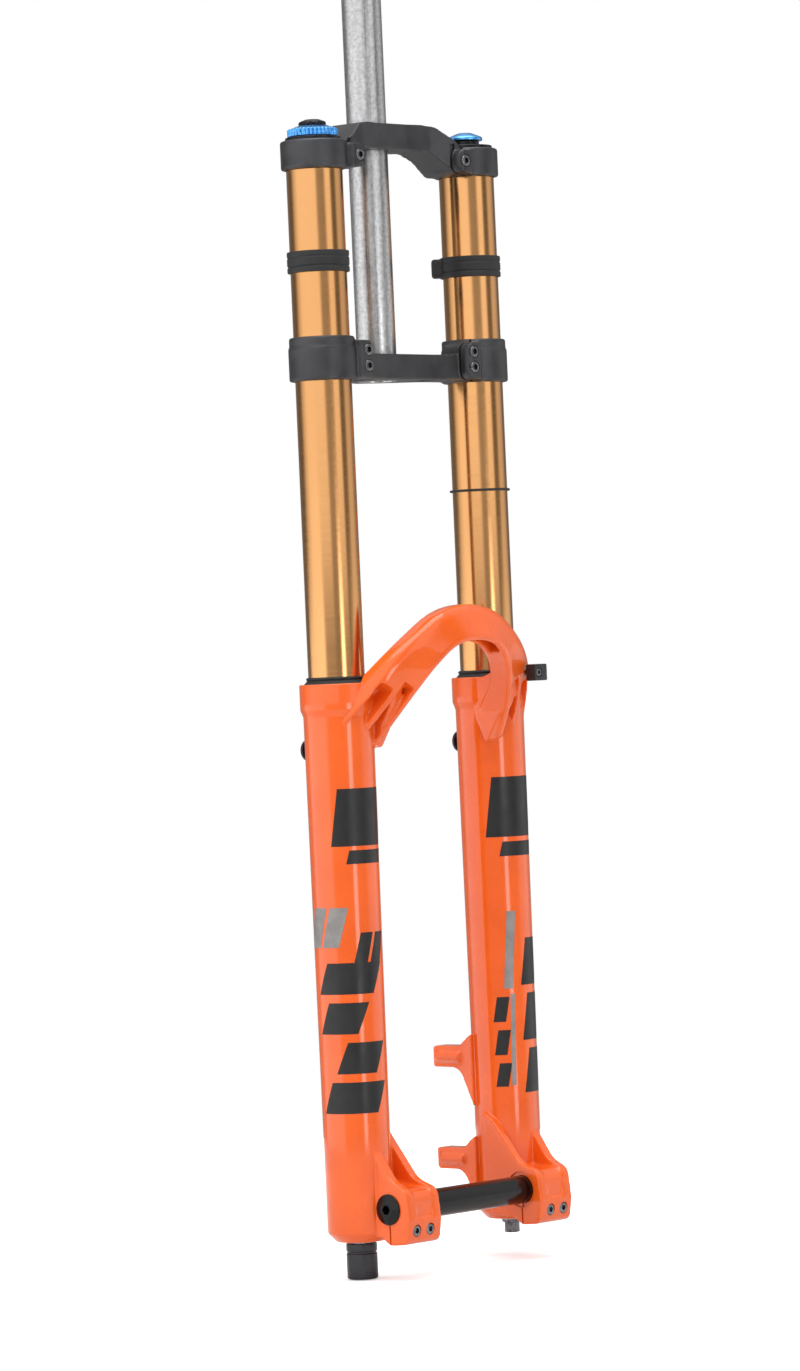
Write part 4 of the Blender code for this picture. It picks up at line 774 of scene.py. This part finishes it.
# %% [markdown]
# ## Arch
# The arch joins the legs over the wheel: a bowed band that thickens towards the legs, where pockets
# leave three ribs. Its cross-section changes all the way, so it is skinned over rings whose sizes come
# from a smooth curve through a few named sections. Then it is melted together with the collars.

# %% Arch
SECTIONS = [  # outer edge x and height, inner edge x and height, front at outer and inner edge, back
    (0.0, 0.0525, 0.0, 0.0265, 0.058, 0.065, 0.045),
    (0.03, 0.0472, 0.021, 0.0225, 0.058, 0.064, 0.044),
    (0.057, 0.03, 0.037, 0.0095, 0.054, 0.059, 0.039),
    (0.076, 0.0115, 0.0475, -0.0065, 0.047, 0.05, 0.029),
    (0.0875, -0.008, 0.056, -0.024, 0.0365, 0.039, 0.012),
    (0.1005, -0.029, 0.064, -0.0455, 0.0205, 0.023, 0.001)]


def arch_section(u):
    """The section at u, from -1 at the right leg to 1 at the left one, smoothly through SECTIONS."""
    last = len(SECTIONS) - 1
    place = min(abs(u) * last, last)
    i = min(int(place), last - 1)
    t = place - i + max(abs(u) - 1, 0) * last

    def flat(k):
        row, mirrored = SECTIONS[min(abs(k), last)], -1 if k < 0 else 1
        return (row[0] * mirrored, row[1], row[2] * mirrored) + row[3:]

    ends = [flat(i - 1), flat(i), flat(i + 1), flat(i + 2)]
    if i + 2 > last:
        ends[3] = tuple(2 * b - a for a, b in zip(flat(i), flat(i + 1)))
    row = [0.5 * (2 * b + (c - a) * t + (2 * a - 5 * b + 4 * c - d) * t * t
                  + (3 * b - a - 3 * c + d) * t ** 3) for a, b, c, d in zip(*ends)]
    if u < 0:
        row[0], row[2] = -row[0], -row[2]
    return row


def band(u, v, w):
    """A point of the band: v runs from its outer to its inner edge, w from its back to its front."""
    ox, oz, ix, iz, front_o, front_i, back_at = arch_section(u)
    front = front_o + (front_i - front_o) * v
    return Vector((ox + (ix - ox) * v, LEG_Y - back_at - (front - back_at) * w, RIM_Z + oz + (iz - oz) * v))


def leg_core(side):
    """The leg's hollow: a little wider than its bore, so the turned leg alone shows inside."""
    seat = RIM_Z - SEAL_DEPTH - 0.002
    corners = [(0, RIM_Z + 0.035, 0), (SEAL_R + 0.0008, RIM_Z + 0.035, 0), (SEAL_R + 0.0008, seat, 0),
               (BORE_R + 0.0006, seat - 0.001, 0), (BORE_R + 0.0006, FLOOR_Z - 0.001, 0),
               (0.006, FLOOR_Z - 0.001, 0), (0.006, LEG_BASE - 0.002, 0), (0, LEG_BASE - 0.002, 0)]
    return turned("core", corners, leg_at(side), around=96)


def along_arch(name, places, outline):
    """Skin an outline of (v, w) points, or the one that a function gives for each place, along the band."""
    rings = [(u, outline(u) if callable(outline) else outline) for u in places]
    return lofted(name, [[band(u, v, w) for v, w in ring] for u, ring in rings])


def pocket(side, start_at, v0, v1):
    """A cutter for one hollow of the arch's foot, which leaves a web of even thickness at the back."""
    def outline(u):
        section = arch_section(u)
        web = POCKET_WEB / (section[4] - section[6])
        return (v0, web), (v0, 1.6), (v1, 1.6), (v1, web)
    return along_arch("pocket", [side * (start_at + (1.12 - start_at) * k / 30) for k in range(31)], outline)


POCKET_WEB = 0.007
BAND = ((0.06, 0.0), (0.0, 0.06), (0.0, 0.55), (0.03, 0.76), (0.09, 0.9), (0.2, 0.98), (0.34, 1.0),
        (0.86, 1.0), (0.95, 0.97), (1.0, 0.88), (1.0, 0.05), (0.95, 0.0))
CHANNEL = ((0.42, 0.28), (0.42, 0.74), (1.3, 0.8), (1.3, 0.2))
arch = along_arch("arch_band", [k / 60 for k in range(-60, 61)], BAND)
tools = [along_arch("channel", [k / 60 for k in range(-18, 19)], CHANNEL)]
tools += [pocket(side, *hollow) for side, _ in SIDES for hollow in ((0.7, 0.12, 0.46), (0.62, 0.58, 0.86))]
machine(arch, tools, solver="EXACT")
lumps = [arch]
for side, tag in SIDES:
    collar, neck, stub_base = COLLAR_R - INSET, LEG_TOP_R - INSET, RIM_Z - 0.066
    stub = [(0, RIM_Z - INSET, 0), (collar, RIM_Z - INSET, 0.001), (collar, COLLAR_BASE, 0.004),
            (neck, TAPER_TOP, 0.006), (LEG_TOP_R - INSET * 1.4, stub_base, 0), (0, stub_base, 0)]
    lumps.append(turned(f"stub_{tag}", stub, leg_at(side), around=96))
    cheek = [(-0.004, -0.003, 0), (-0.02, 0.0015, 0.008), (-0.046, 0.012, 0), (-0.037, -0.018, 0.02),
             (-0.0165, -0.05, 0.003), (-0.008, -0.03, 0.01)]
    low, high = sorted((side * 0.0565, side * 0.0665))
    lumps.append(plate("cheek", [(LEG_Y + y, RIM_Z + z, rad) for y, z, rad in cheek], low, high, "YZ"))
    lumps.append(rod(f"boss_{tag}", BLEED_BOSS_R, BLEED_FACE, BORE_R + 0.001, leg_at(side, BLEED_Z),
                     "+Y", 64, (0.0008, 0)))
body = cast("arch_cast", lumps, *CAST)
tools = [leg_core(LEFT), leg_core(RIGHT), bleed_hole(LEFT), bleed_hole(RIGHT)]
low, high = corners_of("hose_guide_screw")
screw_at = Vector(((low.x + high.x) / 2, low.y + 0.0022, (low.z + high.z) / 2))
machine(body, tools + [rod("screw_hole", 0.0021, 0.02, -0.0148, screw_at, "-Y")])
dress(body, "lowers", PAINT, "orange_paint", "lower_casting", sharp=50)
print("arch:", len(body.data.polygons), "faces")

# %% [markdown]
# ## Dropouts
# The feet reach forward to hold the axle: a block that two bolts pinch, and two webs that rise from it
# to the leg with a hollow between them. The left one also carries the brake posts. They are melted like
# the arch and then machined: hub face, axle bore, slit and bolt holes.

# %% Dropouts


def dropout(side, tag):
    """An outer and an inner web that rise to the leg, and the full-width block they grow from."""
    front, foot = -AXLE_R - 0.009, -AXLE_R - 0.0155
    low_part = [(front + 0.0025, 0.013, 0.009), (front, -0.008, 0.006),
                (front + 0.0025, foot + 0.001, 0.006), (0.0005, foot, 0.003),
                (0.008, foot + 0.005, 0.003), (0.03, foot + 0.0065, 0)]
    pieces = (("block", [(0.03, 0.0215, 0), (0.006, 0.015, 0.006)], DROPOUT_IN, DROPOUT_OUT),
              ("outer_web", [(0.03, 0.046, 0), (0.012, 0.042, 0.004), (-0.003, 0.02, 0.016)],
               DROPOUT_OUT - 0.0075, DROPOUT_OUT),
              ("inner_web", [(0.034, 0.056, 0), (0.0255, 0.05, 0.005), (0.001, 0.019, 0.018)],
               DROPOUT_IN, DROPOUT_IN + 0.007))
    lumps = []
    for name, high_part, near, far in pieces:
        outline = [(AXLE_Y + y, AXLE_Z + z, r) for y, z, r in high_part + low_part]
        lumps.append(plate(name, outline, *sorted((side * near, side * far)), "YZ"))
    low, high = sorted((side * (DROPOUT_IN + 0.008), side * (DROPOUT_OUT - 0.009)))
    panel = block("panel", (low, AXLE_Y - 0.03, AXLE_Z - 0.0065),
                  (high, AXLE_Y + front + 0.0016, AXLE_Z + 0.0065))
    machine(lumps[0], [panel], solver="EXACT")
    radius, stub_top = LEG_FOOT_R - INSET, AXLE_Z + 0.125
    stub = [(0, stub_top, 0), (radius, stub_top, 0), (radius, LEG_BASE + 0.0065, 0.004),
            (LEG_FOOT_R - 0.0062, LEG_BASE + INSET, 0.0015), (0, LEG_BASE + INSET, 0)]
    return lumps + [turned(f"foot_{tag}", stub, leg_at(side), around=96)]


def brake_posts():
    """Two square posts behind the left leg, a small fillet above each and a long one below."""
    lumps = []
    reach = POST_END - LEG_Y
    for height in POST_Z:
        shape = [(0.01, -0.036, 0), (0.015, -0.025, 0.01), (0.0225, -0.008, 0.012),
                 (reach, -0.0078, 0.0012), (reach, 0.0078, 0.0012), (0.022, 0.008, 0.006),
                 (0.014, 0.0145, 0.006), (0.01, 0.017, 0)]
        shape = [(LEG_Y + y, height + z, r) for y, z, r in shape]
        lumps.append(plate("post", shape, POST_X - 0.0062, POST_X + 0.008, "YZ"))
        lumps.append(rod("post_rib", 0.0042, reach - 0.0035, 0.02, (POST_X - 0.006, LEG_Y, height), "+Y",
                         fillets=(0.0015, 0.0015)))
    return lumps


for side, tag in SIDES:
    lumps = dropout(side, tag) + (brake_posts() if side == LEFT else [])
    body = cast(f"dropout_{tag}_cast", lumps, *CAST)
    inner, outer = sorted((side * (HUB_FACE - 0.01), side * HUB_FACE))
    near, far = sorted((side * (DROPOUT_IN - 0.002), side * (DROPOUT_OUT + 0.002)))
    tools = [leg_core(side), rod("hub", AXLE_R + 0.003, outer, inner, (0, AXLE_Y, AXLE_Z), "+X", 96),
             rod("axle_bore", AXLE_R + GAP, far, near, (0, AXLE_Y, AXLE_Z), "+X", 96),
             block("slit", (near, AXLE_Y - 0.0012, AXLE_Z - 0.031), (far, AXLE_Y + 0.0002, AXLE_Z - 0.004))]
    tools += [stepped_hole("pinch", pinch_seat(side, k), "-Y", PINCH_BOLT) for k in (-1, 1)]
    if side == LEFT:
        tools += [tapped_hole("post_hole", 0.0026, 0.016, (POST_X, POST_END, height), "+Y")
                  for height in POST_Z]
    machine(body, tools)
    dress(body, "lowers", PAINT, "orange_paint", "lower_casting", sharp=50)
    print(f"dropout {tag}:", len(body.data.polygons), "faces")

# %% [markdown]
# ## Seals, ring and bumpers
# The wiper's thin lip leans on the tube above a groove for its spring. The travel ring is a plain O-ring,
# a torus. A bumper is a rubber sleeve with two grooves and a lobe that meets the frame; sleeve and lobe
# are melted together and the bore is cut after.

# %% Rubber pieces
for side, tag in SIDES:
    lip, inner = STANCHION_R + 0.0017, STANCHION_R + GAP
    foot = -SEAL_DEPTH + 0.008 + 2 * GAP
    shape = [(lip - 0.0009, LIP_RISE, 0.0003), (lip, 0.004, 0.0004), (lip - 0.0001, 0.0032, 0.0003),
             (lip - 0.0008, 0.0026, 0.0003), (lip - 0.0001, 0.0019, 0.0003), (lip + 0.0008, 0.0008, 0.0006),
             (SEAL_R - GAP, -0.0006, 0.0003), (SEAL_R - GAP, foot, 0.0003), (inner, foot, 0.0003),
             (inner, LIP_RISE, 0.0002)]
    wiper = turned(f"wiper_{tag}_lip", shape, leg_at(side, RIM_Z), around=128)
    dress(wiper, "lowers", RUBBER, "black_rubber", f"wiper_seal_{tag}")

RING_R, RING_CORD = STANCHION_R + 0.0002 + 0.0009, 0.0009
nothing_selected()
bpy.ops.mesh.primitive_torus_add(location=(0, 0, 0), major_segments=128, minor_segments=20,
                                 major_radius=RING_R, minor_radius=RING_CORD)
ring = bpy.context.object
ring.name = "travel_ring"
settle_into(ring, Matrix.Translation(leg_at(LEFT, sum(span("travel_oring")) / 2)))
dress(ring, "oring", RUBBER, "black_rubber", "travel_oring")

for side, tag in SIDES:
    base, top = span(f"frame_bumper_{tag}")
    inner, outer = STANCHION_R + GAP, STANCHION_R + GAP + 0.0018
    groove = outer - 0.001
    shape = [(outer, top, 0.0005), (outer, top - 0.0035, 0.0003), (groove, top - 0.0042, 0.0003),
             (outer, top - 0.0049, 0.0003), (outer, base + 0.0049, 0.0003), (groove, base + 0.0042, 0.0003),
             (outer, base + 0.0035, 0.0003), (outer, base, 0.0005), (inner - 0.0015, base, 0),
             (inner - 0.0015, top, 0)]
    sleeve = turned(f"sleeve_{tag}", shape, leg_at(side), around=128)
    lobe = block(f"lobe_{tag}", (inner - 0.001, -0.008, base + 0.0008),
                 (STANCHION_R + 0.0082, 0.008, top - 0.0008), 0.0022)
    turn = Matrix.Rotation(math.radians(132 if side == LEFT else 48), 4, "Z")
    settle_into(lobe, Matrix.Translation(leg_at(side)) @ turn)
    bumper = cast(f"bumper_{tag}_moulded", [sleeve, lobe], *MOULDED)
    machine(bumper, [rod("bore", inner, top + 0.002, base - 0.002, leg_at(side), around=128)])
    dress(bumper, "upper", RUBBER, "black_rubber", f"frame_bumper_{tag}", sharp=50)
print("rubber pieces: 5")

# %% [markdown]
# ## Top caps and knobs
# The damper's knobs sit one on the other: a wide fluted one for fast movements, a small black one for
# slow. Flutes are easiest as rings of points whose radius ripples, skinned from one to the next. The
# air side has a domed blue cover over its valve.

# %% Caps and knobs


def fluted(name, levels, count, place, points=8):
    """Rings at (height, radius, flute depth) levels, skinned into a closed ring-shaped body."""
    rings = []
    for height, radius, depth in levels:
        ring = []
        for k in range(count * points):
            angle = 2 * math.pi * k / (count * points)
            dip = depth * (0.5 - 0.5 * math.cos(count * angle)) ** 2
            ring.append(Vector(((radius - dip) * math.cos(angle), (radius - dip) * math.sin(angle), height)))
        rings.append(ring)
    return settle_into(lofted(name, rings, closed=True), Matrix.Translation(Vector(place)))


damper, air = leg_at(RIGHT), leg_at(LEFT)
plug, flange, knob_hole = STANCHION_R - 0.0026, STANCHION_R - 0.0003, 0.0033
base, top = span("damper_top_cap")
seat = STANCHION_TOP + GAP
shape = [(flange, top, 0.0007), (flange, seat, 0.0003), (plug, seat, 0), (plug, base, 0.0005),
         (knob_hole, base, 0), (knob_hole, top, 0)]
cap = turned("damper_cap_turned", shape, damper, around=128)
dress(cap, "upper", TURNED, "black_anodised", "damper_top_cap")

base = span("compression_high_knob")[0]
levels = [(0, 0.0172, 0.0004), (0.0005, 0.018, 0.0011), (0.0051, 0.018, 0.0011), (0.0056, 0.0172, 0.0004),
          (0.0057, 0.0166, 0), (0.0079, 0.0104, 0), (0.0082, 0.0098, 0), (0.0082, knob_hole, 0),
          (0, knob_hole, 0)]
knob = fluted("high_speed_knob", levels, 36, leg_at(RIGHT, base))
dress(knob, "high_compression", BLUE, "blue_anodised", "compression_high_knob")

base, top = span("compression_low_knob")
stem, scallops, scallops_at = 0.003, 10, 0.0104
shape = [(0, top, 0), (0.005, top, 0.002), (0.0092, top - 0.0016, 0.001), (0.0098, top - 0.0026, 0.0003),
         (0.0098, top - 0.0038, 0.0002), (stem, top - 0.0038, 0), (stem, base, 0), (0, base, 0)]
knob = turned("low_speed_knob", shape, damper, around=96)
angles = [2 * math.pi * k / scallops for k in range(scallops)]
machine(knob, [rod("scallop", 0.0012, 0.002, -0.008,
                   damper + Vector((scallops_at * math.cos(a), scallops_at * math.sin(a), top)), around=16)
               for a in angles])
dress(knob, "low_compression", TURNED, "black_anodised", "compression_low_knob")

base, top = span("air_top_cap")
bore, collar, shoulder = 0.0042, 0.0105, top - 0.0036
shape = [(collar, top, 0.0004), (collar, shoulder, 0.0008), (flange, shoulder, 0.0007),
         (flange, seat, 0.0003), (plug, seat, 0), (plug, base, 0.0005), (bore, base, 0), (bore, top, 0.0003)]
cap = turned("air_cap_base_turned", shape, air, around=128)
dress(cap, "upper", TURNED, "black_anodised", "air_top_cap")

base, top = span("air_valve")
shape = [(0, top - 0.004, 0), (0.0022, top - 0.004, 0), (0.0022, top, 0.0002), (0.0039, top, 0.0004),
         (0.0039, base, 0.0003), (0, base, 0)]
dress(turned("valve_turned", shape, air, around=48), "upper", BRIGHT, "dark_steel", "air_valve")

base, top = span("air_cap")
shape = [(0, top, 0), (0.005, top - 0.0003, 0.004), (0.0122, base + 0.0028, 0.0012),
         (0.013, base + 0.0018, 0.0004), (0.013, base, 0.0004), (0.007, base, 0.0002),
         (0.006, base + 0.0018, 0.0003), (0.0045, base + 0.0042, 0), (0, base + 0.0042, 0)]
cover = turned("valve_cover_dome", shape, air, around=96)
dress(cover, "valve_cover", BLUE, "blue_anodised", "air_cap")
print("caps and knobs: 6")

# %% [markdown]
# ## Axle, feet and small pieces
# The axle's head is a shallow dome with a hexagonal socket. A turned cap hides the rebound knobs. The
# bleeder buttons are moulded with a dished face, and the hose guide is a small clamp with one screw.

# %% Axle and feet
dome, hollow = 0.0026, AXLE_R - 0.003
head = AXLE_END + dome
length = AXLE_TIP - head
shape = [(0, dome, 0), (0.0055, dome, 0.002), (0.0108, 0.001, 0.0006), (0.011, 0, 0.0002), (AXLE_R, 0, 0),
         (AXLE_R, -length, 0.0008), (hollow, -length, 0.0004), (hollow, -0.012, 0), (0, -0.012, 0)]
axle = turned("axle_turned", shape, (head, AXLE_Y, AXLE_Z), "-X", 128)
hex_socket(axle, 0.0036, 0.01, (head - 0.001, AXLE_Y, AXLE_Z), "+X")
dress(axle, "through_axle", GLOSS, "black_anodised", "axle")

base, top = span("rebound_cap")
inner, outer, groove = 0.0096, 0.011, 0.0104
shape = [(0, base + 0.0014, 0), (inner, base + 0.0014, 0.0004), (inner, top, 0.0002), (outer, top, 0.0003),
         (outer, top - 0.005, 0.0003), (groove, top - 0.0056, 0.0003), (groove, top - 0.0066, 0.0003),
         (outer, top - 0.0072, 0.0003), (outer, base, 0.0016), (0, base, 0)]
cap = turned("rebound_cap_turned", shape, damper, around=96)
dress(cap, "rebound_cover", GREY_CAP, "black_anodised", "rebound_cap")

base, top = span("air_foot_bolt")
under = LEG_BASE - 2 * GAP - 0.0012
shape = [(0, top, 0), (0.0045, top, 0.0003), (0.0045, under, 0), (0.0072, under, 0.0003),
         (0.0072, under - 0.0016, 0.0003), (0.0055, under - 0.0021, 0.0002), (0.0055, base, 0.0008),
         (0, base, 0)]
bolt = turned("air_foot_bolt_turned", shape, air, around=64)
hex_socket(bolt, 0.0029, 0.01, leg_at(LEFT, base))
dress(bolt, "lowers", STEEL, "dark_steel", "air_foot_bolt")

for side, tag in SIDES:
    face = corners_of(f"bleeder_button_{tag}")[1].y - (LEG_Y + BLEED_FACE)
    rest, stem, inside = face - 0.0028, 0.0035, -0.0022
    shape = [(0, face - 0.0009, 0), (0.0048, face - 0.0007, 0.001), (0.0066, face, 0.0006),
             (0.0076, face - 0.0008, 0.0006), (BLEED_BOSS_R, rest, 0.0003), (stem, rest, 0),
             (stem, inside, 0.0002), (0, inside, 0)]
    place = leg_at(side, BLEED_Z) + Vector((0, BLEED_FACE, 0))
    button = turned(f"bleeder_{tag}_moulded", shape, place, "+Y", 64)
    dress(button, f"bleeder_{tag}", PLASTIC, "black_plastic", f"bleeder_button_{tag}")

low, high = corners_of("hose_guide")
guide = block("hose_guide_moulded", low, high, 0.0009)
middle = (low + high) / 2
hose_at = (middle.x + 0.0038, high.y - 0.0062, middle.z)
machine(guide, [rod("hose", 0.0026, 0.02, -0.02, hose_at),
                stepped_hole("guide_hole", screw_at, "-Y", GUIDE_SCREW)])
dress(guide, "lowers", PLASTIC, "black_plastic", "hose_guide")
place_bolts(GUIDE_SCREW, "lowers", STEEL, [("hose_guide_screw", screw_at, "-Y")])

# %% [markdown]
# ## Graphics on the legs
# Cut vinyl sits on the paint as thin film. Plain slanted bars stand in for a maker's graphics. Each is a
# grid wrapped round the tapering leg, a tenth of a millimetre proud, with its own edges.

# %% Graphics
BLACK_FILM, GREY_FILM = [
    surface(name, colours, (0.004,), (0.32, 0.44), (0.01,), Specular_IOR_Level=0.45)
    for name, colours in (("black_vinyl", ("#0C0B0B", "#141313")), ("grey_vinyl", ("#7C7876", "#8A8684")))]
FILM_LIFT, FILM_WALL = 0.00006, 0.00008


def film(name, side, start_deg, end_deg, top, base, lean, material):
    """A slanted bar between two angles round the leg, measured from the camera's side towards the front."""
    across, down = max(4, int(abs(end_deg - start_deg) / 4)), max(6, int(abs(top - base) / 0.003))
    nothing_selected()
    bpy.ops.mesh.primitive_grid_add(x_subdivisions=across, y_subdivisions=down, size=1)
    thing = bpy.context.object
    thing.name = name
    for vertex in thing.data.vertices:
        a, b = vertex.co.x + 0.5, vertex.co.y + 0.5
        z = base + (top - base) * b
        angle = AROUND - math.pi / 2 + math.radians(start_deg + (end_deg - start_deg) * a + lean * (b - 0.5))
        radius = leg_radius(z) + FILM_LIFT
        vertex.co = (side * LEG_X + radius * math.cos(angle), LEG_Y + radius * math.sin(angle), z)
    wall = thing.modifiers.new("wall", "SOLIDIFY")
    wall.thickness, wall.offset = FILM_WALL, 1.0
    alone(thing)
    bpy.ops.object.modifier_apply(modifier="wall")
    clean(thing)
    return dress(thing, "lowers", material, "orange_paint", sharp=60)


BARS = [(RIGHT, -14, 90, -0.3075, -0.348, 14, BLACK_FILM), (RIGHT, 6, 84, -0.351, -0.3605, 6, BLACK_FILM),
        (RIGHT, -76, -44, -0.391, -0.419, 18, GREY_FILM), (RIGHT, -38, -6, -0.391, -0.419, 18, GREY_FILM),
        (RIGHT, 14, 38, -0.409, -0.437, 18, BLACK_FILM), (RIGHT, 44, 68, -0.409, -0.437, 18, BLACK_FILM),
        (RIGHT, -50, 54, -0.43, -0.452, 22, BLACK_FILM), (RIGHT, -50, 22, -0.458, -0.48, 22, BLACK_FILM),
        (RIGHT, -18, 54, -0.486, -0.508, 22, BLACK_FILM), (RIGHT, -50, 54, -0.514, -0.536, 22, BLACK_FILM),
        (LEFT, -10, 90, -0.3065, -0.35, 14, BLACK_FILM), (LEFT, 8, 84, -0.3535, -0.364, 6, BLACK_FILM),
        (LEFT, 8, 24, -0.404, -0.46, 10, GREY_FILM), (LEFT, 12, 20, -0.464, -0.53, 4, GREY_FILM),
        (LEFT, -14, 8, -0.466, -0.484, 8, BLACK_FILM), (LEFT, -14, 8, -0.49, -0.508, 8, BLACK_FILM),
        (LEFT, -14, 8, -0.514, -0.531, 8, BLACK_FILM), (LEFT, 42, 90, -0.424, -0.458, 14, BLACK_FILM),
        (LEFT, 42, 90, -0.464, -0.498, 14, BLACK_FILM), (LEFT, 42, 90, -0.504, -0.536, 14, BLACK_FILM)]
for k, bar in enumerate(BARS):
    film(f"film_{k + 1:02d}", *bar)
print("films:", len(BARS))

# %% [markdown]
# ## The parts inside
# What the legs and tubes hide keeps its own shape and gets the right metal or foam, since a pose can bring
# some of it into view.

# %% Inner parts
INNER = {BARE: ("damper_cartridge", "crush_washer_left", "crush_washer_right"),
         TURNED: ("damper_seal_head", "air_seal_head", "damper_piston", "air_piston"),
         BRIGHT: ("damper_rod", "air_shaft", "upper_bushing_left", "upper_bushing_right",
                  "lower_bushing_left", "lower_bushing_right", "damper_foot_stud"),
         BLUE: ("rebound_high_knob", "rebound_low_knob"), FOAM: ("foam_ring_left", "foam_ring_right")}
for material, names in INNER.items():
    for name in names:
        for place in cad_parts[name].material_slots:
            place.link, place.material = "OBJECT", material
print("inner parts:", sum(len(names) for names in INNER.values()))
